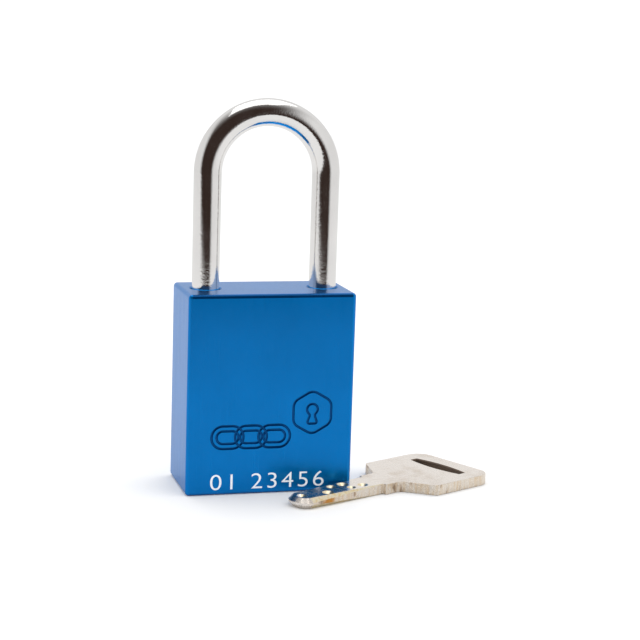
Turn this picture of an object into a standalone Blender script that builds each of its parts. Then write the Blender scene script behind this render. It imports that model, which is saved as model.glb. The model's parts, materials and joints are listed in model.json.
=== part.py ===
"""Keyed safety padlock with its dimple key.

Frame: metres, +Z up. The origin is the point where the axis of the shackle's long heel leg meets the
plane of the body's base. +X runs from the heel leg to the toe leg and +Y from the front to the back.

Stored state: the shackle is down, the plug is a quarter turn from where the key goes in, so both balls
are drawn back into the body, and the key lies on the surface that the body stands on.
"""

import math

import bmesh
import bpy
from mathutils import Matrix, Vector

MM = 0.001
X_AXIS = Vector((1.0, 0.0, 0.0))
Y_AXIS = Vector((0.0, 1.0, 0.0))
Z_AXIS = Vector((0.0, 0.0, 1.0))

# Clearances
GAP = 0.3 * MM
RUNNING = 0.15 * MM
OVERRUN = 1.0 * MM

# Shackle
BAR_D = 6.5 * MM
LEG_PITCH = 28.4 * MM
LOOP_HEIGHT = 38.0 * MM
LIFT = 15.0 * MM
LEG_CHAMFER = 0.8 * MM
TOE_TAIL = 6.5 * MM
HEEL_TAIL = 8.0 * MM

# Body block
BORE_CLEARANCE = 0.35 * MM
SIDE_WALL = 2.2 * MM
BODY_D = 20.0 * MM
BODY_H = 47.5 * MM
EDGE_R = 0.9 * MM
HEEL_FLOOR = 4.0 * MM
CAVITY_ROOF = 3.0 * MM

# Locking balls and the cam between them
BALL_D = 6.35 * MM
BALL_DEPTH = 7.5 * MM
TOE_BITE = 2.0 * MM
HEEL_BITE = 1.0 * MM
HEEL_TRAVEL = 0.55 * MM
CAM_PLAY = 0.1 * MM
LOBE_HEIGHT = 6.0 * MM
CAM_NECK_R = 3.3 * MM
CAM_BOSS_R = 2.5 * MM
CAM_SKIRT_GAP = 0.9 * MM

# Key
KEY_THICKNESS = 2.5 * MM
KEY_WIDTH = 7.4 * MM
KEY_BLADE = 25.2 * MM
KEY_NOSE = 3.0 * MM
KEY_NOSE_CHAMFER = 1.0 * MM
NECK_WIDTH = 9.4 * MM
NECK_LENGTH = 4.8 * MM
BOW_START = 9.4 * MM
BOW_LENGTH = 28.6 * MM
BOW_WIDTH = 25.0 * MM
BOW_CORNER_R = 4.0 * MM
SLOT_CENTRE = 22.2 * MM
SLOT_LENGTH = 16.2 * MM
SLOT_MIDDLE_WIDTH = 3.7 * MM
SLOT_END_WIDTH = 1.8 * MM
KEY_PLAY = 0.25 * MM
KEY_HEADING = math.radians(26.6)
KEY_STOP_PAST_CORNER = 4.2 * MM
NOSE_DIMPLE_FROM_TIP = 2.5 * MM

# Pin stacks: distance from the key's stop, row across the blade (-1, 0, 1) and depth of cut
STACKS = (
    (4.7 * MM, -1, 0.8 * MM),
    (8.4 * MM, -1, 0.6 * MM),
    (8.4 * MM, 1, 0.9 * MM),
    (12.1 * MM, 1, 0.7 * MM),
    (15.8 * MM, -1, 0.9 * MM),
    (KEY_BLADE - NOSE_DIMPLE_FROM_TIP, 0, 0.7 * MM),
)
ROW_OFFSET = 1.55 * MM
PIN_D = 1.9 * MM
DRIVER_LENGTH = 4.2 * MM
DIMPLE_FLAT_R = 0.35 * MM
DIMPLE_SLOPE = 1.2
PIN_SPRING_WIRE_R = 0.16 * MM
PIN_SPRING_TURNS = 3

# Lock cylinder
FACE_RECESS = 0.4 * MM
PLUG_R = 5.9 * MM
PLUG_RIM_R = 6.7 * MM
PLUG_RIM_HEIGHT = 1.4 * MM
SHELL_WALL = 1.8 * MM
SHELL_HEAD = 2.5 * MM
HOUSING_WIDTH = 9.2 * MM
HOUSING_PAST_TOE = 2.4 * MM
HOUSING_CORNER_R = 1.2 * MM
STRIP_THICKNESS = 0.8 * MM
STRIP_WIDTH = 6.4 * MM
STRIP_END_MARGIN = 1.4 * MM
CIRCLIP_THICKNESS = 0.6 * MM
CIRCLIP_WALL = 2.0 * MM
CIRCLIP_MOUTH = math.radians(52)
GROOVE_DEPTH = 0.9 * MM
PLUG_NECK_R = 5.5 * MM
PLUG_END_HEIGHT = 0.6 * MM
TAIL_LENGTH = 3.4 * MM
TAIL_WIDTH = 6.4 * MM
TAIL_THICKNESS = 2.0 * MM

# Screw that holds the cylinder in the body, reached through the toe bore
SCREW_D = 3.5 * MM
SCREW_HEAD_R = 3.0 * MM
SCREW_HEAD_HEIGHT = 1.8 * MM
SCREW_SOCKET_R = 1.3 * MM
SCREW_SOCKET_DEPTH = 1.1 * MM
SCREW_BITE = 3.1 * MM
BORE_FLOOR = 2.3 * MM

# Shackle spring
SPRING_WIRE_R = 0.4 * MM
SPRING_COIL_R = 2.5 * MM
SPRING_TURNS = 7

# Sizes that follow from the ones above
BAR_R = BAR_D / 2
BORE_R = BAR_R + BORE_CLEARANCE
HEEL_X = 0.0
TOE_X = LEG_PITCH
MID_X = LEG_PITCH / 2
BODY_W = LEG_PITCH + 2 * (BORE_R + SIDE_WALL)
BOW_R = LEG_PITCH / 2
BOW_Z = BODY_H + LOOP_HEIGHT + BAR_R - BOW_R

BALL_R = BALL_D / 2
BALL_Z = BODY_H - BALL_DEPTH
CHANNEL_R = BALL_R + RUNNING
TOE_BALL_LOCKED = TOE_X - BAR_R + TOE_BITE - BALL_R
TOE_BALL_REST = TOE_X - BORE_R - BALL_R - CAM_PLAY / 2
HEEL_BALL_LOCKED = HEEL_X + BAR_R - HEEL_BITE + BALL_R
HEEL_BALL_REST = HEEL_BALL_LOCKED + HEEL_TRAVEL
CAM_R = TOE_BALL_LOCKED - MID_X - BALL_R - CAM_PLAY
CAVITY_R = CAM_R + RUNNING + CAM_PLAY
CAVITY_TOP = BODY_H - CAVITY_ROOF
TOE_END_Z = BALL_Z - TOE_TAIL
HEEL_END_Z = BALL_Z - LIFT - HEEL_TAIL

KEYWAY_END = FACE_RECESS + KEY_BLADE + GAP
SHELL_TOP = KEYWAY_END + SHELL_HEAD
SHELL_BORE_R = PLUG_R + GAP
SHELL_R = SHELL_BORE_R + SHELL_WALL
HOUSING_REACH = TOE_X + HOUSING_PAST_TOE - MID_X
CIRCLIP_Z = SHELL_TOP + GAP
GROOVE_TOP = CIRCLIP_Z + CIRCLIP_THICKNESS + GAP
PLUG_GROOVE_R = PLUG_R - GROOVE_DEPTH
CIRCLIP_INNER_R = PLUG_GROOVE_R + GAP
CIRCLIP_OUTER_R = CIRCLIP_INNER_R + CIRCLIP_WALL
CIRCLIP_POCKET_R = CIRCLIP_OUTER_R + GAP
PLUG_TOP = GROOVE_TOP + PLUG_END_HEIGHT
CAM_BOTTOM = PLUG_TOP + GAP
CAM_SKIRT_TOP = BALL_Z - BALL_R - CAM_SKIRT_GAP
TOE_BORE_Z = SHELL_TOP + GAP + BORE_FLOOR
SCREW_R = SCREW_D / 2
SCREW_HOLE_R = SCREW_R + GAP
SCREW_END_Z = SHELL_TOP - SCREW_BITE

PIN_R = PIN_D / 2
CHAMBER_R = PIN_R + GAP
STRIP_INNER = HOUSING_REACH - STRIP_THICKNESS - GAP
DRIVER_START = PLUG_R + GAP
SPRING_START = DRIVER_START + DRIVER_LENGTH + GAP

# Colours: RGB, roughness, metallic
FINISHES = {
    "anodised_blue": ((0.004, 0.16, 0.47), 0.42, 0.6),
    "chrome_plate": ((0.80, 0.80, 0.82), 0.08, 1.0),
    "nickel_plate": ((0.74, 0.70, 0.63), 0.28, 1.0),
    "turned_brass": ((0.72, 0.53, 0.24), 0.30, 1.0),
    "hardened_steel": ((0.55, 0.56, 0.58), 0.22, 1.0),
    "zinc_steel": ((0.62, 0.63, 0.66), 0.35, 1.0),
    "spring_steel": ((0.42, 0.42, 0.44), 0.30, 1.0),
}

ROUND_STEPS = 48
SMALL_STEPS = 16
PARTS = "padlock"
CUTTERS = "padlock_cutters"


def clear_scene():
    """Remove every object that the scene starts with."""
    for obj in list(bpy.data.objects):
        bpy.data.objects.remove(obj)


def make_collection(name):
    """Add a collection to the scene."""
    collection = bpy.data.collections.new(name)
    bpy.context.scene.collection.children.link(collection)


def make_finish(name, colour, roughness, metallic):
    """Make one Principled material."""
    material = bpy.data.materials.new(name)
    material.use_nodes = True
    shader = material.node_tree.nodes["Principled BSDF"]
    shader.inputs["Base Color"].default_value = (*colour, 1.0)
    shader.inputs["Roughness"].default_value = roughness
    shader.inputs["Metallic"].default_value = metallic


def make_empty(name, location):
    """Add an empty that marks a joint's axis."""
    empty = bpy.data.objects.new(name, None)
    empty.location = location
    bpy.data.collections[PARTS].objects.link(empty)
    return empty


def add_part(name, data, finish, location=(0, 0, 0), parent=None, direction=Z_AXIS):
    """Add one sub-part with its material; its local +Z points along direction."""
    obj = bpy.data.objects.new(name, data)
    obj.location = location
    obj.rotation_euler = Z_AXIS.rotation_difference(direction).to_euler()
    obj.parent = parent
    data.materials.append(bpy.data.materials[finish])
    bpy.data.collections[PARTS].objects.link(obj)
    return obj


def add_cutter(name, mesh, location=(0, 0, 0), direction=Z_AXIS):
    """Add a hidden tool body for a Boolean; its local +Z points along direction."""
    obj = bpy.data.objects.new(name, mesh)
    obj.location = location
    obj.rotation_euler = Z_AXIS.rotation_difference(direction).to_euler()
    obj.display_type = "WIRE"
    obj.hide_render = True
    bpy.data.collections[CUTTERS].objects.link(obj)
    return obj


def combine(target, tool, operation):
    """Cut the tool body from the target, or join it on, with an exact Boolean."""
    modifier = target.modifiers.new(tool.name, "BOOLEAN")
    modifier.operation = operation
    modifier.solver = "EXACT"
    modifier.object = tool


def smooth(mesh, angle=35):
    """Shade a mesh smooth except at its sharp edges."""
    mesh.shade_smooth()
    mesh.set_sharp_from_angle(angle=math.radians(angle))
    return mesh


def mesh_from(name, bm):
    """Turn a bmesh into a mesh and free it."""
    mesh = bpy.data.meshes.new(name)
    bm.to_mesh(mesh)
    bm.free()
    return mesh


def box_mesh(name, low, high):
    """A box between two corners."""
    low = Vector(low)
    high = Vector(high)
    bm = bmesh.new()
    bmesh.ops.create_cube(bm, size=1.0)
    bmesh.ops.scale(bm, verts=bm.verts, vec=high - low)
    bmesh.ops.translate(bm, verts=bm.verts, vec=(low + high) / 2)
    return mesh_from(name, bm)


def rod_mesh(name, radius, length, steps=ROUND_STEPS, far_radius=None):
    """A cylinder, or a cone if far_radius is given, from its local origin along local +Z."""
    bm = bmesh.new()
    far = radius if far_radius is None else far_radius
    bmesh.ops.create_cone(
        bm, cap_ends=True, segments=steps, radius1=radius, radius2=far, depth=length
    )
    bmesh.ops.translate(bm, verts=bm.verts, vec=(0, 0, length / 2))
    return smooth(mesh_from(name, bm))


def ball_mesh(name, radius):
    """A ball about its local origin."""
    bm = bmesh.new()
    bmesh.ops.create_uvsphere(bm, u_segments=24, v_segments=14, radius=radius)
    return smooth(mesh_from(name, bm), 180)


def turned_mesh(name, profile, steps=ROUND_STEPS):
    """A turned solid: (radius, height) points from the top of the axis to its foot, spun about +Z."""
    bm = bmesh.new()
    verts = [bm.verts.new((radius, 0.0, height)) for radius, height in profile]
    for first, second in zip(verts, verts[1:]):
        bm.edges.new((first, second))
    obj = bpy.data.objects.new(name, mesh_from(name, bm))
    bpy.data.collections[CUTTERS].objects.link(obj)
    screw = obj.modifiers.new("spin", "SCREW")
    screw.axis = "Z"
    screw.steps = steps
    screw.render_steps = steps
    screw.use_merge_vertices = True
    screw.merge_threshold = 0.001 * MM
    return smooth(evaluated_mesh(name, obj))


def evaluated_mesh(name, obj):
    """The mesh that an object's modifiers or curve settings give; the object itself is removed."""
    bpy.context.view_layer.update()
    graph = bpy.context.evaluated_depsgraph_get()
    mesh = bpy.data.meshes.new_from_object(obj.evaluated_get(graph))
    mesh.name = name
    bpy.data.objects.remove(obj)
    bm = bmesh.new()
    bm.from_mesh(mesh)
    bmesh.ops.remove_doubles(bm, verts=bm.verts, dist=0.001 * MM)
    bm.to_mesh(mesh)
    bm.free()
    return mesh


def curve_object(name, points, dimensions, cyclic):
    """A curve object with one POLY spline through the points."""
    curve = bpy.data.curves.new(name, "CURVE")
    curve.dimensions = dimensions
    add_spline(curve, points, cyclic)
    obj = bpy.data.objects.new(name, curve)
    bpy.data.collections[CUTTERS].objects.link(obj)
    return obj


def add_spline(curve, points, cyclic):
    """Add a POLY spline through 2D or 3D points."""
    spline = curve.splines.new("POLY")
    spline.points.add(len(points) - 1)
    for slot, point in zip(spline.points, points):
        slot.co = (*Vector(point).to_3d(), 1.0)
    spline.use_cyclic_u = cyclic


def plate_mesh(name, outline, thickness, window=None):
    """A flat plate from local z = 0 to its thickness, with an optional window through it."""
    obj = curve_object(name, outline, "2D", True)
    obj.data.fill_mode = "BOTH"
    obj.data.extrude = thickness / 2
    if window:
        add_spline(obj.data, window, True)
    mesh = evaluated_mesh(name, obj)
    mesh.transform(Matrix.Translation((0, 0, thickness / 2)))
    return smooth(mesh, 20)


def tube_mesh(name, points, radius, resolution):
    """A round bar along a path, with flat ends."""
    obj = curve_object(name, points, "3D", False)
    obj.data.bevel_depth = radius
    obj.data.bevel_resolution = resolution
    obj.data.use_fill_caps = True
    return smooth(evaluated_mesh(name, obj))


def arc(centre, radius, start, end, steps):
    """Points on an arc, by angle in degrees."""
    points = []
    for step in range(steps + 1):
        angle = math.radians(start + (end - start) * step / steps)
        points.append((centre[0] + radius * math.cos(angle), centre[1] + radius * math.sin(angle)))
    return points


def coil_points(coil_radius, wire_radius, length, turns, steps_per_turn):
    """A compression spring's centre line along +Z: even turns that close up towards both ends."""
    points = []
    count = turns * steps_per_turn
    run = length - 2 * wire_radius
    for step in range(count + 1):
        share = step / count
        angle = 2 * math.pi * turns * share
        eased = share - 0.3 * math.sin(2 * math.pi * share) / (2 * math.pi)
        height = wire_radius + run * eased
        points.append((coil_radius * math.cos(angle), coil_radius * math.sin(angle), height))
    return points


def pear_outline(radius, half_width, reach, corner):
    """Outline of the lock cylinder: a round with a straight-sided housing towards +X."""
    meet = math.degrees(math.asin(half_width / radius))
    outline = arc((0, 0), radius, meet, 360 - meet, ROUND_STEPS)
    outline += arc((reach - corner, corner - half_width), corner, 270, 360, 4)
    outline += arc((reach - corner, half_width - corner), corner, 0, 90, 4)
    return outline


def cam_reach(angle):
    """Radius of the cam at an angle of its own, kept CAM_PLAY clear of both balls.

    As the cam goes from its drawn-back end (0) to its locked end (1) it turns -90 degrees and each ball
    moves outward in step. At every moment the ray at this angle may run no further than the ball.
    """
    radius = CAM_R
    steps = 60
    toe = (0.0, TOE_BALL_REST - MID_X, TOE_BALL_LOCKED - TOE_BALL_REST)
    heel = (math.pi, MID_X - HEEL_BALL_REST, HEEL_BALL_REST - HEEL_BALL_LOCKED)
    for bearing, start, travel in (toe, heel):
        for step in range(steps + 1):
            share = step / steps
            distance = start + travel * share
            across = angle - math.pi / 2 * share - bearing
            ball = BALL_R + CAM_PLAY
            miss = abs(distance * math.sin(across))
            if miss < ball and math.cos(across) > 0:
                limit = distance * math.cos(across) - math.sqrt(ball**2 - miss**2)
                radius = min(radius, limit)
    return radius


def make_body():
    """Body block with its two leg bores, ball channel, cam cavity and cylinder pocket."""
    block = box_mesh("body", (-BODY_W / 2, -BODY_D / 2, 0), (BODY_W / 2, BODY_D / 2, BODY_H))
    body = add_part("body", block, "anodised_blue", location=(MID_X, 0, 0))
    bevel = body.modifiers.new("edges", "BEVEL")
    bevel.width = EDGE_R
    bevel.segments = 3

    top = BODY_H + OVERRUN
    pocket = pear_outline(
        SHELL_R + GAP, HOUSING_WIDTH / 2 + GAP, HOUSING_REACH + GAP, HOUSING_CORNER_R + GAP
    )
    pocket_top = SHELL_TOP + GAP
    clip_top = GROOVE_TOP
    cuts = (
        ("heel_bore", rod_mesh("heel_bore", BORE_R, top - HEEL_FLOOR), (HEEL_X, 0, HEEL_FLOOR)),
        ("toe_bore", rod_mesh("toe_bore", BORE_R, top - TOE_BORE_Z), (TOE_X, 0, TOE_BORE_Z)),
        ("cylinder_pocket", plate_mesh("cylinder_pocket", pocket, pocket_top + OVERRUN),
         (MID_X, 0, -OVERRUN)),
        ("clip_pocket", rod_mesh("clip_pocket", CIRCLIP_POCKET_R, clip_top - pocket_top + GAP),
         (MID_X, 0, pocket_top - GAP)),
        ("cam_cavity", rod_mesh("cam_cavity", CAVITY_R, CAVITY_TOP - clip_top + GAP),
         (MID_X, 0, clip_top - GAP)),
        ("screw_passage", rod_mesh("screw_passage", SCREW_HOLE_R, BORE_FLOOR + 2 * GAP, 24),
         (TOE_X, 0, pocket_top - GAP)),
    )
    for name, mesh, place in cuts:
        combine(body, add_cutter(name, mesh, place), "DIFFERENCE")
    channel = rod_mesh("ball_channel", CHANNEL_R, LEG_PITCH)
    combine(body, add_cutter("ball_channel", channel, (HEEL_X, 0, BALL_Z), X_AXIS), "DIFFERENCE")


def make_shackle(heel_axis):
    """Bent bar with a long heel leg and a short toe leg, notched for the balls."""
    path = [(HEEL_X, 0, HEEL_END_Z)]
    path += [(x, 0, z) for x, z in arc((MID_X, BOW_Z), BOW_R, 180, 0, 24)]
    path += [(TOE_X, 0, TOE_END_Z)]
    shackle = add_part("shackle", tube_mesh("shackle", path, BAR_R, 10), "chrome_plate", parent=heel_axis)
    bevel = shackle.modifiers.new("leg_ends", "BEVEL")
    bevel.width = LEG_CHAMFER
    bevel.segments = 1
    bevel.limit_method = "ANGLE"
    bevel.angle_limit = math.radians(60)

    notch_r = BALL_R + GAP
    for name, x in (("heel_notch", HEEL_BALL_LOCKED), ("toe_notch", TOE_BALL_LOCKED)):
        mesh = rod_mesh(name, notch_r, 2 * BAR_D)
        combine(shackle, add_cutter(name, mesh, (x, -BAR_D, BALL_Z), Y_AXIS), "DIFFERENCE")
    flat_x = HEEL_BALL_REST - BALL_R - GAP
    flat = box_mesh("heel_flat", (flat_x, -BAR_D, BALL_Z - LIFT), (BAR_D, BAR_D, BALL_Z))
    combine(shackle, add_cutter("heel_flat", flat), "DIFFERENCE")
    bpy.ops.mesh.primitive_torus_add(
        major_radius=HEEL_BALL_LOCKED - HEEL_X, minor_radius=notch_r, major_segments=36,
        minor_segments=20,
    )
    ring = bpy.context.object
    ring_mesh = ring.data
    bpy.data.objects.remove(ring)
    groove = add_cutter("heel_groove", ring_mesh, (HEEL_X, 0, BALL_Z - LIFT))
    combine(shackle, groove, "DIFFERENCE")


def make_shackle_spring(heel_axis):
    """Compression spring under the heel leg."""
    foot = HEEL_FLOOR + GAP
    length = HEEL_END_Z - GAP - foot
    points = coil_points(SPRING_COIL_R, SPRING_WIRE_R, length, SPRING_TURNS, 10)
    mesh = tube_mesh("shackle_spring", points, SPRING_WIRE_R, 2)
    add_part("shackle_spring", mesh, "spring_steel", location=(0, 0, foot), parent=heel_axis)


def make_balls():
    """Two balls that the cam pushes into the shackle's notches."""
    for name, x in (("heel_ball", HEEL_BALL_REST), ("toe_ball", TOE_BALL_REST)):
        add_part(name, ball_mesh(name, BALL_R), "hardened_steel", location=(x, 0, BALL_Z))


def make_cam(plug_axis):
    """Cam: a turned spindle with two lobes at ball height and a slot for the plug's tail."""
    skirt_r = CAVITY_R - GAP
    lobe_bottom = BALL_Z - LOBE_HEIGHT / 2
    lobe_top = BALL_Z + LOBE_HEIGHT / 2
    spindle = (
        (0.0, CAVITY_TOP - GAP),
        (CAM_BOSS_R, CAVITY_TOP - GAP),
        (CAM_BOSS_R, lobe_bottom + GAP),
        (CAM_NECK_R, lobe_bottom + GAP),
        (CAM_NECK_R, CAM_SKIRT_TOP),
        (skirt_r, CAM_SKIRT_TOP),
        (skirt_r, CAM_BOTTOM),
        (0.0, CAM_BOTTOM),
    )
    cam = add_part("locking_cam", turned_mesh("locking_cam", spindle), "zinc_steel", parent=plug_axis)
    outline = []
    for step in range(72):
        angle = 2 * math.pi * step / 72
        reach = cam_reach(angle)
        outline.append((reach * math.cos(angle), reach * math.sin(angle)))
    lobes = plate_mesh("cam_lobes", outline, lobe_top - lobe_bottom)
    combine(cam, add_cutter("cam_lobes", lobes, (MID_X, 0, lobe_bottom)), "UNION")
    half_length = TAIL_WIDTH / 2 + GAP
    half_width = TAIL_THICKNESS / 2 + GAP
    slot = box_mesh(
        "tail_slot", (-half_length, -half_width, CAM_BOTTOM - OVERRUN),
        (half_length, half_width, PLUG_TOP + TAIL_LENGTH + GAP),
    )
    combine(cam, add_cutter("tail_slot", slot, (MID_X, 0, 0)), "DIFFERENCE")


def make_plug(plug_axis):
    """Plug: turned, with the keyway, the pin chambers and a tail that drives the cam."""
    rim_top = FACE_RECESS + PLUG_RIM_HEIGHT
    profile = (
        (0.0, PLUG_TOP),
        (PLUG_NECK_R, PLUG_TOP),
        (PLUG_NECK_R, GROOVE_TOP),
        (PLUG_GROOVE_R, GROOVE_TOP),
        (PLUG_GROOVE_R, SHELL_TOP),
        (PLUG_R, SHELL_TOP),
        (PLUG_R, rim_top),
        (PLUG_RIM_R, rim_top),
        (PLUG_RIM_R, FACE_RECESS),
        (0.0, FACE_RECESS),
    )
    plug = add_part("plug", turned_mesh("plug", profile), "turned_brass", parent=plug_axis)
    tail = box_mesh(
        "plug_tail", (-TAIL_WIDTH / 2, -TAIL_THICKNESS / 2, PLUG_TOP - GAP),
        (TAIL_WIDTH / 2, TAIL_THICKNESS / 2, PLUG_TOP + TAIL_LENGTH),
    )
    combine(plug, add_cutter("plug_tail", tail, (MID_X, 0, 0)), "UNION")
    keyway_x = KEY_WIDTH / 2 + KEY_PLAY
    keyway_y = KEY_THICKNESS / 2 + KEY_PLAY
    keyway = box_mesh(
        "keyway", (-keyway_x, -keyway_y, FACE_RECESS - OVERRUN), (keyway_x, keyway_y, KEYWAY_END)
    )
    combine(plug, add_cutter("keyway", keyway, (MID_X, 0, 0)), "DIFFERENCE")
    for number, (station, row, cut) in enumerate(STACKS, 1):
        name = f"plug_chamber_{number}"
        chamber = rod_mesh(name, CHAMBER_R, PLUG_R + OVERRUN, SMALL_STEPS)
        place = (MID_X - row * ROW_OFFSET, 0, FACE_RECESS + station)
        combine(plug, add_cutter(name, chamber, place, Y_AXIS), "DIFFERENCE")


def make_circlip(plug_axis):
    """Open ring that holds the plug up in the shell."""
    mouth = math.degrees(CIRCLIP_MOUTH) / 2
    outline = arc((0, 0), CIRCLIP_OUTER_R, mouth, 360 - mouth, 36)
    outline += arc((0, 0), CIRCLIP_INNER_R, 360 - mouth, mouth, 36)
    mesh = plate_mesh("plug_circlip", outline, CIRCLIP_THICKNESS)
    add_part("plug_circlip", mesh, "spring_steel", location=(0, 0, CIRCLIP_Z), parent=plug_axis)


def make_shell():
    """Cylinder shell with its pin housing, which reaches under the toe bore."""
    outline = pear_outline(SHELL_R, HOUSING_WIDTH / 2, HOUSING_REACH, HOUSING_CORNER_R)
    mesh = plate_mesh("cylinder_shell", outline, SHELL_TOP - FACE_RECESS)
    shell = add_part("cylinder_shell", mesh, "turned_brass", location=(MID_X, 0, FACE_RECESS))
    bore_length = SHELL_TOP - FACE_RECESS + 2 * OVERRUN
    bore = rod_mesh("plug_bore", SHELL_BORE_R, bore_length)
    combine(shell, add_cutter("plug_bore", bore, (MID_X, 0, FACE_RECESS - OVERRUN)), "DIFFERENCE")
    rim = rod_mesh("rim_seat", PLUG_RIM_R + GAP, PLUG_RIM_HEIGHT + GAP + OVERRUN)
    combine(shell, add_cutter("rim_seat", rim, (MID_X, 0, FACE_RECESS - OVERRUN)), "DIFFERENCE")
    screw_hole = rod_mesh("screw_hole", SCREW_HOLE_R, SCREW_BITE + GAP + OVERRUN, 24)
    combine(shell, add_cutter("screw_hole", screw_hole, (TOE_X, 0, SCREW_END_Z - GAP)), "DIFFERENCE")
    low, high = strip_span()
    recess = box_mesh(
        "strip_recess", (STRIP_INNER, -STRIP_WIDTH / 2 - GAP, low - GAP),
        (HOUSING_REACH + OVERRUN, STRIP_WIDTH / 2 + GAP, high + GAP),
    )
    combine(shell, add_cutter("strip_recess", recess, (MID_X, 0, 0)), "DIFFERENCE")
    for number, (station, row, cut) in enumerate(STACKS, 1):
        name = f"shell_chamber_{number}"
        chamber = rod_mesh(name, CHAMBER_R, HOUSING_REACH, SMALL_STEPS)
        place = (MID_X + PLUG_R / 2, row * ROW_OFFSET, FACE_RECESS + station)
        combine(shell, add_cutter(name, chamber, place, X_AXIS), "DIFFERENCE")


def strip_span():
    """Lowest and highest point of the strip that closes the pin chambers."""
    stations = [station for station, row, cut in STACKS]
    low = FACE_RECESS + min(stations) - STRIP_END_MARGIN
    high = FACE_RECESS + max(stations) + STRIP_END_MARGIN
    return low, high


def make_pins(plug_axis):
    """Key pins in the plug; driver pins, springs and their cover strip in the shell."""
    for number, (station, row, cut) in enumerate(STACKS, 1):
        height = FACE_RECESS + station
        inner = KEY_THICKNESS / 2 - cut
        edge = abs(row) * ROW_OFFSET + PIN_R
        outer = math.sqrt(PLUG_R**2 - edge**2) - CAM_PLAY
        point = (PIN_R - DIMPLE_FLAT_R) / DIMPLE_SLOPE
        profile = (
            (0.0, outer - inner),
            (PIN_R, outer - inner),
            (PIN_R, point),
            (DIMPLE_FLAT_R, 0.0),
            (0.0, 0.0),
        )
        name = f"key_pin_{number}"
        mesh = turned_mesh(name, profile, SMALL_STEPS)
        add_part(name, mesh, "turned_brass", (-row * ROW_OFFSET, inner, height), plug_axis, Y_AXIS)

        name = f"driver_pin_{number}"
        mesh = rod_mesh(name, PIN_R, DRIVER_LENGTH, SMALL_STEPS)
        side = row * ROW_OFFSET
        add_part(name, mesh, "turned_brass", (MID_X + DRIVER_START, side, height), None, X_AXIS)

        name = f"pin_spring_{number}"
        length = STRIP_INNER - SPRING_START
        coil_radius = PIN_R - PIN_SPRING_WIRE_R
        points = coil_points(coil_radius, PIN_SPRING_WIRE_R, length, PIN_SPRING_TURNS, 7)
        mesh = tube_mesh(name, points, PIN_SPRING_WIRE_R, 2)
        add_part(name, mesh, "spring_steel", (MID_X + SPRING_START, side, height), None, X_AXIS)

    low, high = strip_span()
    strip = box_mesh(
        "pin_cover_strip", (STRIP_INNER + GAP, -STRIP_WIDTH / 2, low),
        (HOUSING_REACH, STRIP_WIDTH / 2, high),
    )
    add_part("pin_cover_strip", strip, "turned_brass", location=(MID_X, 0, 0))


def make_cylinder_screw():
    """Screw down through the floor of the toe bore into the cylinder's housing."""
    head_bottom = TOE_BORE_Z + GAP
    head_top = head_bottom + SCREW_HEAD_HEIGHT
    profile = (
        (0.0, head_top),
        (SCREW_HEAD_R, head_top),
        (SCREW_HEAD_R, head_bottom),
        (SCREW_R, head_bottom),
        (SCREW_R, SCREW_END_Z),
        (0.0, SCREW_END_Z),
    )
    mesh = turned_mesh("cylinder_screw", profile, 24)
    screw = add_part("cylinder_screw", mesh, "zinc_steel", location=(TOE_X, 0, 0))
    socket = rod_mesh("screw_socket", SCREW_SOCKET_R, SCREW_SOCKET_DEPTH + OVERRUN, 6)
    place = (TOE_X, 0, head_top - SCREW_SOCKET_DEPTH)
    combine(screw, add_cutter("screw_socket", socket, place), "DIFFERENCE")


def key_outline():
    """Key outline about its stop: the blade runs to -X, the bow to +X, and both edges are mirrored."""
    half = []
    for step in range(9):
        angle = math.pi / 2 * step / 8
        along = -KEY_BLADE + KEY_NOSE * (1 - math.cos(angle))
        half.append((along, KEY_WIDTH / 2 * math.sin(angle)))
    half.append((0.0, KEY_WIDTH / 2))
    half.append((0.0, NECK_WIDTH / 2))
    half.append((NECK_LENGTH, NECK_WIDTH / 2))
    half.append((BOW_START, BOW_WIDTH / 2))
    corner = (BOW_LENGTH - BOW_CORNER_R, BOW_WIDTH / 2 - BOW_CORNER_R)
    half += arc(corner, BOW_CORNER_R, 90, 0, 6)
    mirrored = [(along, -across) for along, across in reversed(half[1:])]
    return half + mirrored


def slot_outline():
    """Slot for a ring near the bow's end: wide in the middle and narrow at both ends."""
    bulge = (SLOT_MIDDLE_WIDTH - SLOT_END_WIDTH) / 2
    half = SLOT_LENGTH / 2
    outline = []
    for side in (1, -1):
        for step in range(9):
            share = -1 + step / 4
            width = SLOT_END_WIDTH / 2 + bulge * (1 - share**2)
            outline.append((SLOT_CENTRE + side * width, -side * share * half))
    return outline


def make_key(rest_axis, rest_place):
    """Flat dimple key lying on the surface beside the body."""
    mesh = plate_mesh("key", key_outline(), KEY_THICKNESS, slot_outline())
    bm = bmesh.new()
    bm.from_mesh(mesh)
    bmesh.ops.dissolve_limit(bm, angle_limit=math.radians(1), verts=bm.verts, edges=bm.edges)
    nose_end = -KEY_BLADE + KEY_NOSE + GAP
    nose = [edge for edge in bm.edges if is_nose_rim(edge, nose_end)]
    bmesh.ops.bevel(bm, geom=nose, offset=KEY_NOSE_CHAMFER, segments=1, affect="EDGES")
    bm.to_mesh(mesh)
    bm.free()
    key = add_part("key", mesh, "nickel_plate", parent=rest_axis)

    turn = Matrix.Translation(rest_place) @ Matrix.Rotation(KEY_HEADING, 4, "Z")
    for number, (station, row, cut) in enumerate(STACKS, 1):
        for face, height, side in (("upper", KEY_THICKNESS, 1), ("lower", 0.0, -1)):
            name = f"{face}_dimple_{number}"
            depth = cut + GAP
            flare = DIMPLE_FLAT_R + depth * DIMPLE_SLOPE
            cone = rod_mesh(name, DIMPLE_FLAT_R, depth, SMALL_STEPS, flare)
            place = turn @ Vector((-station, side * row * ROW_OFFSET, height - side * cut))
            combine(key, add_cutter(name, cone, place, side * Z_AXIS), "DIFFERENCE")


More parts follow.
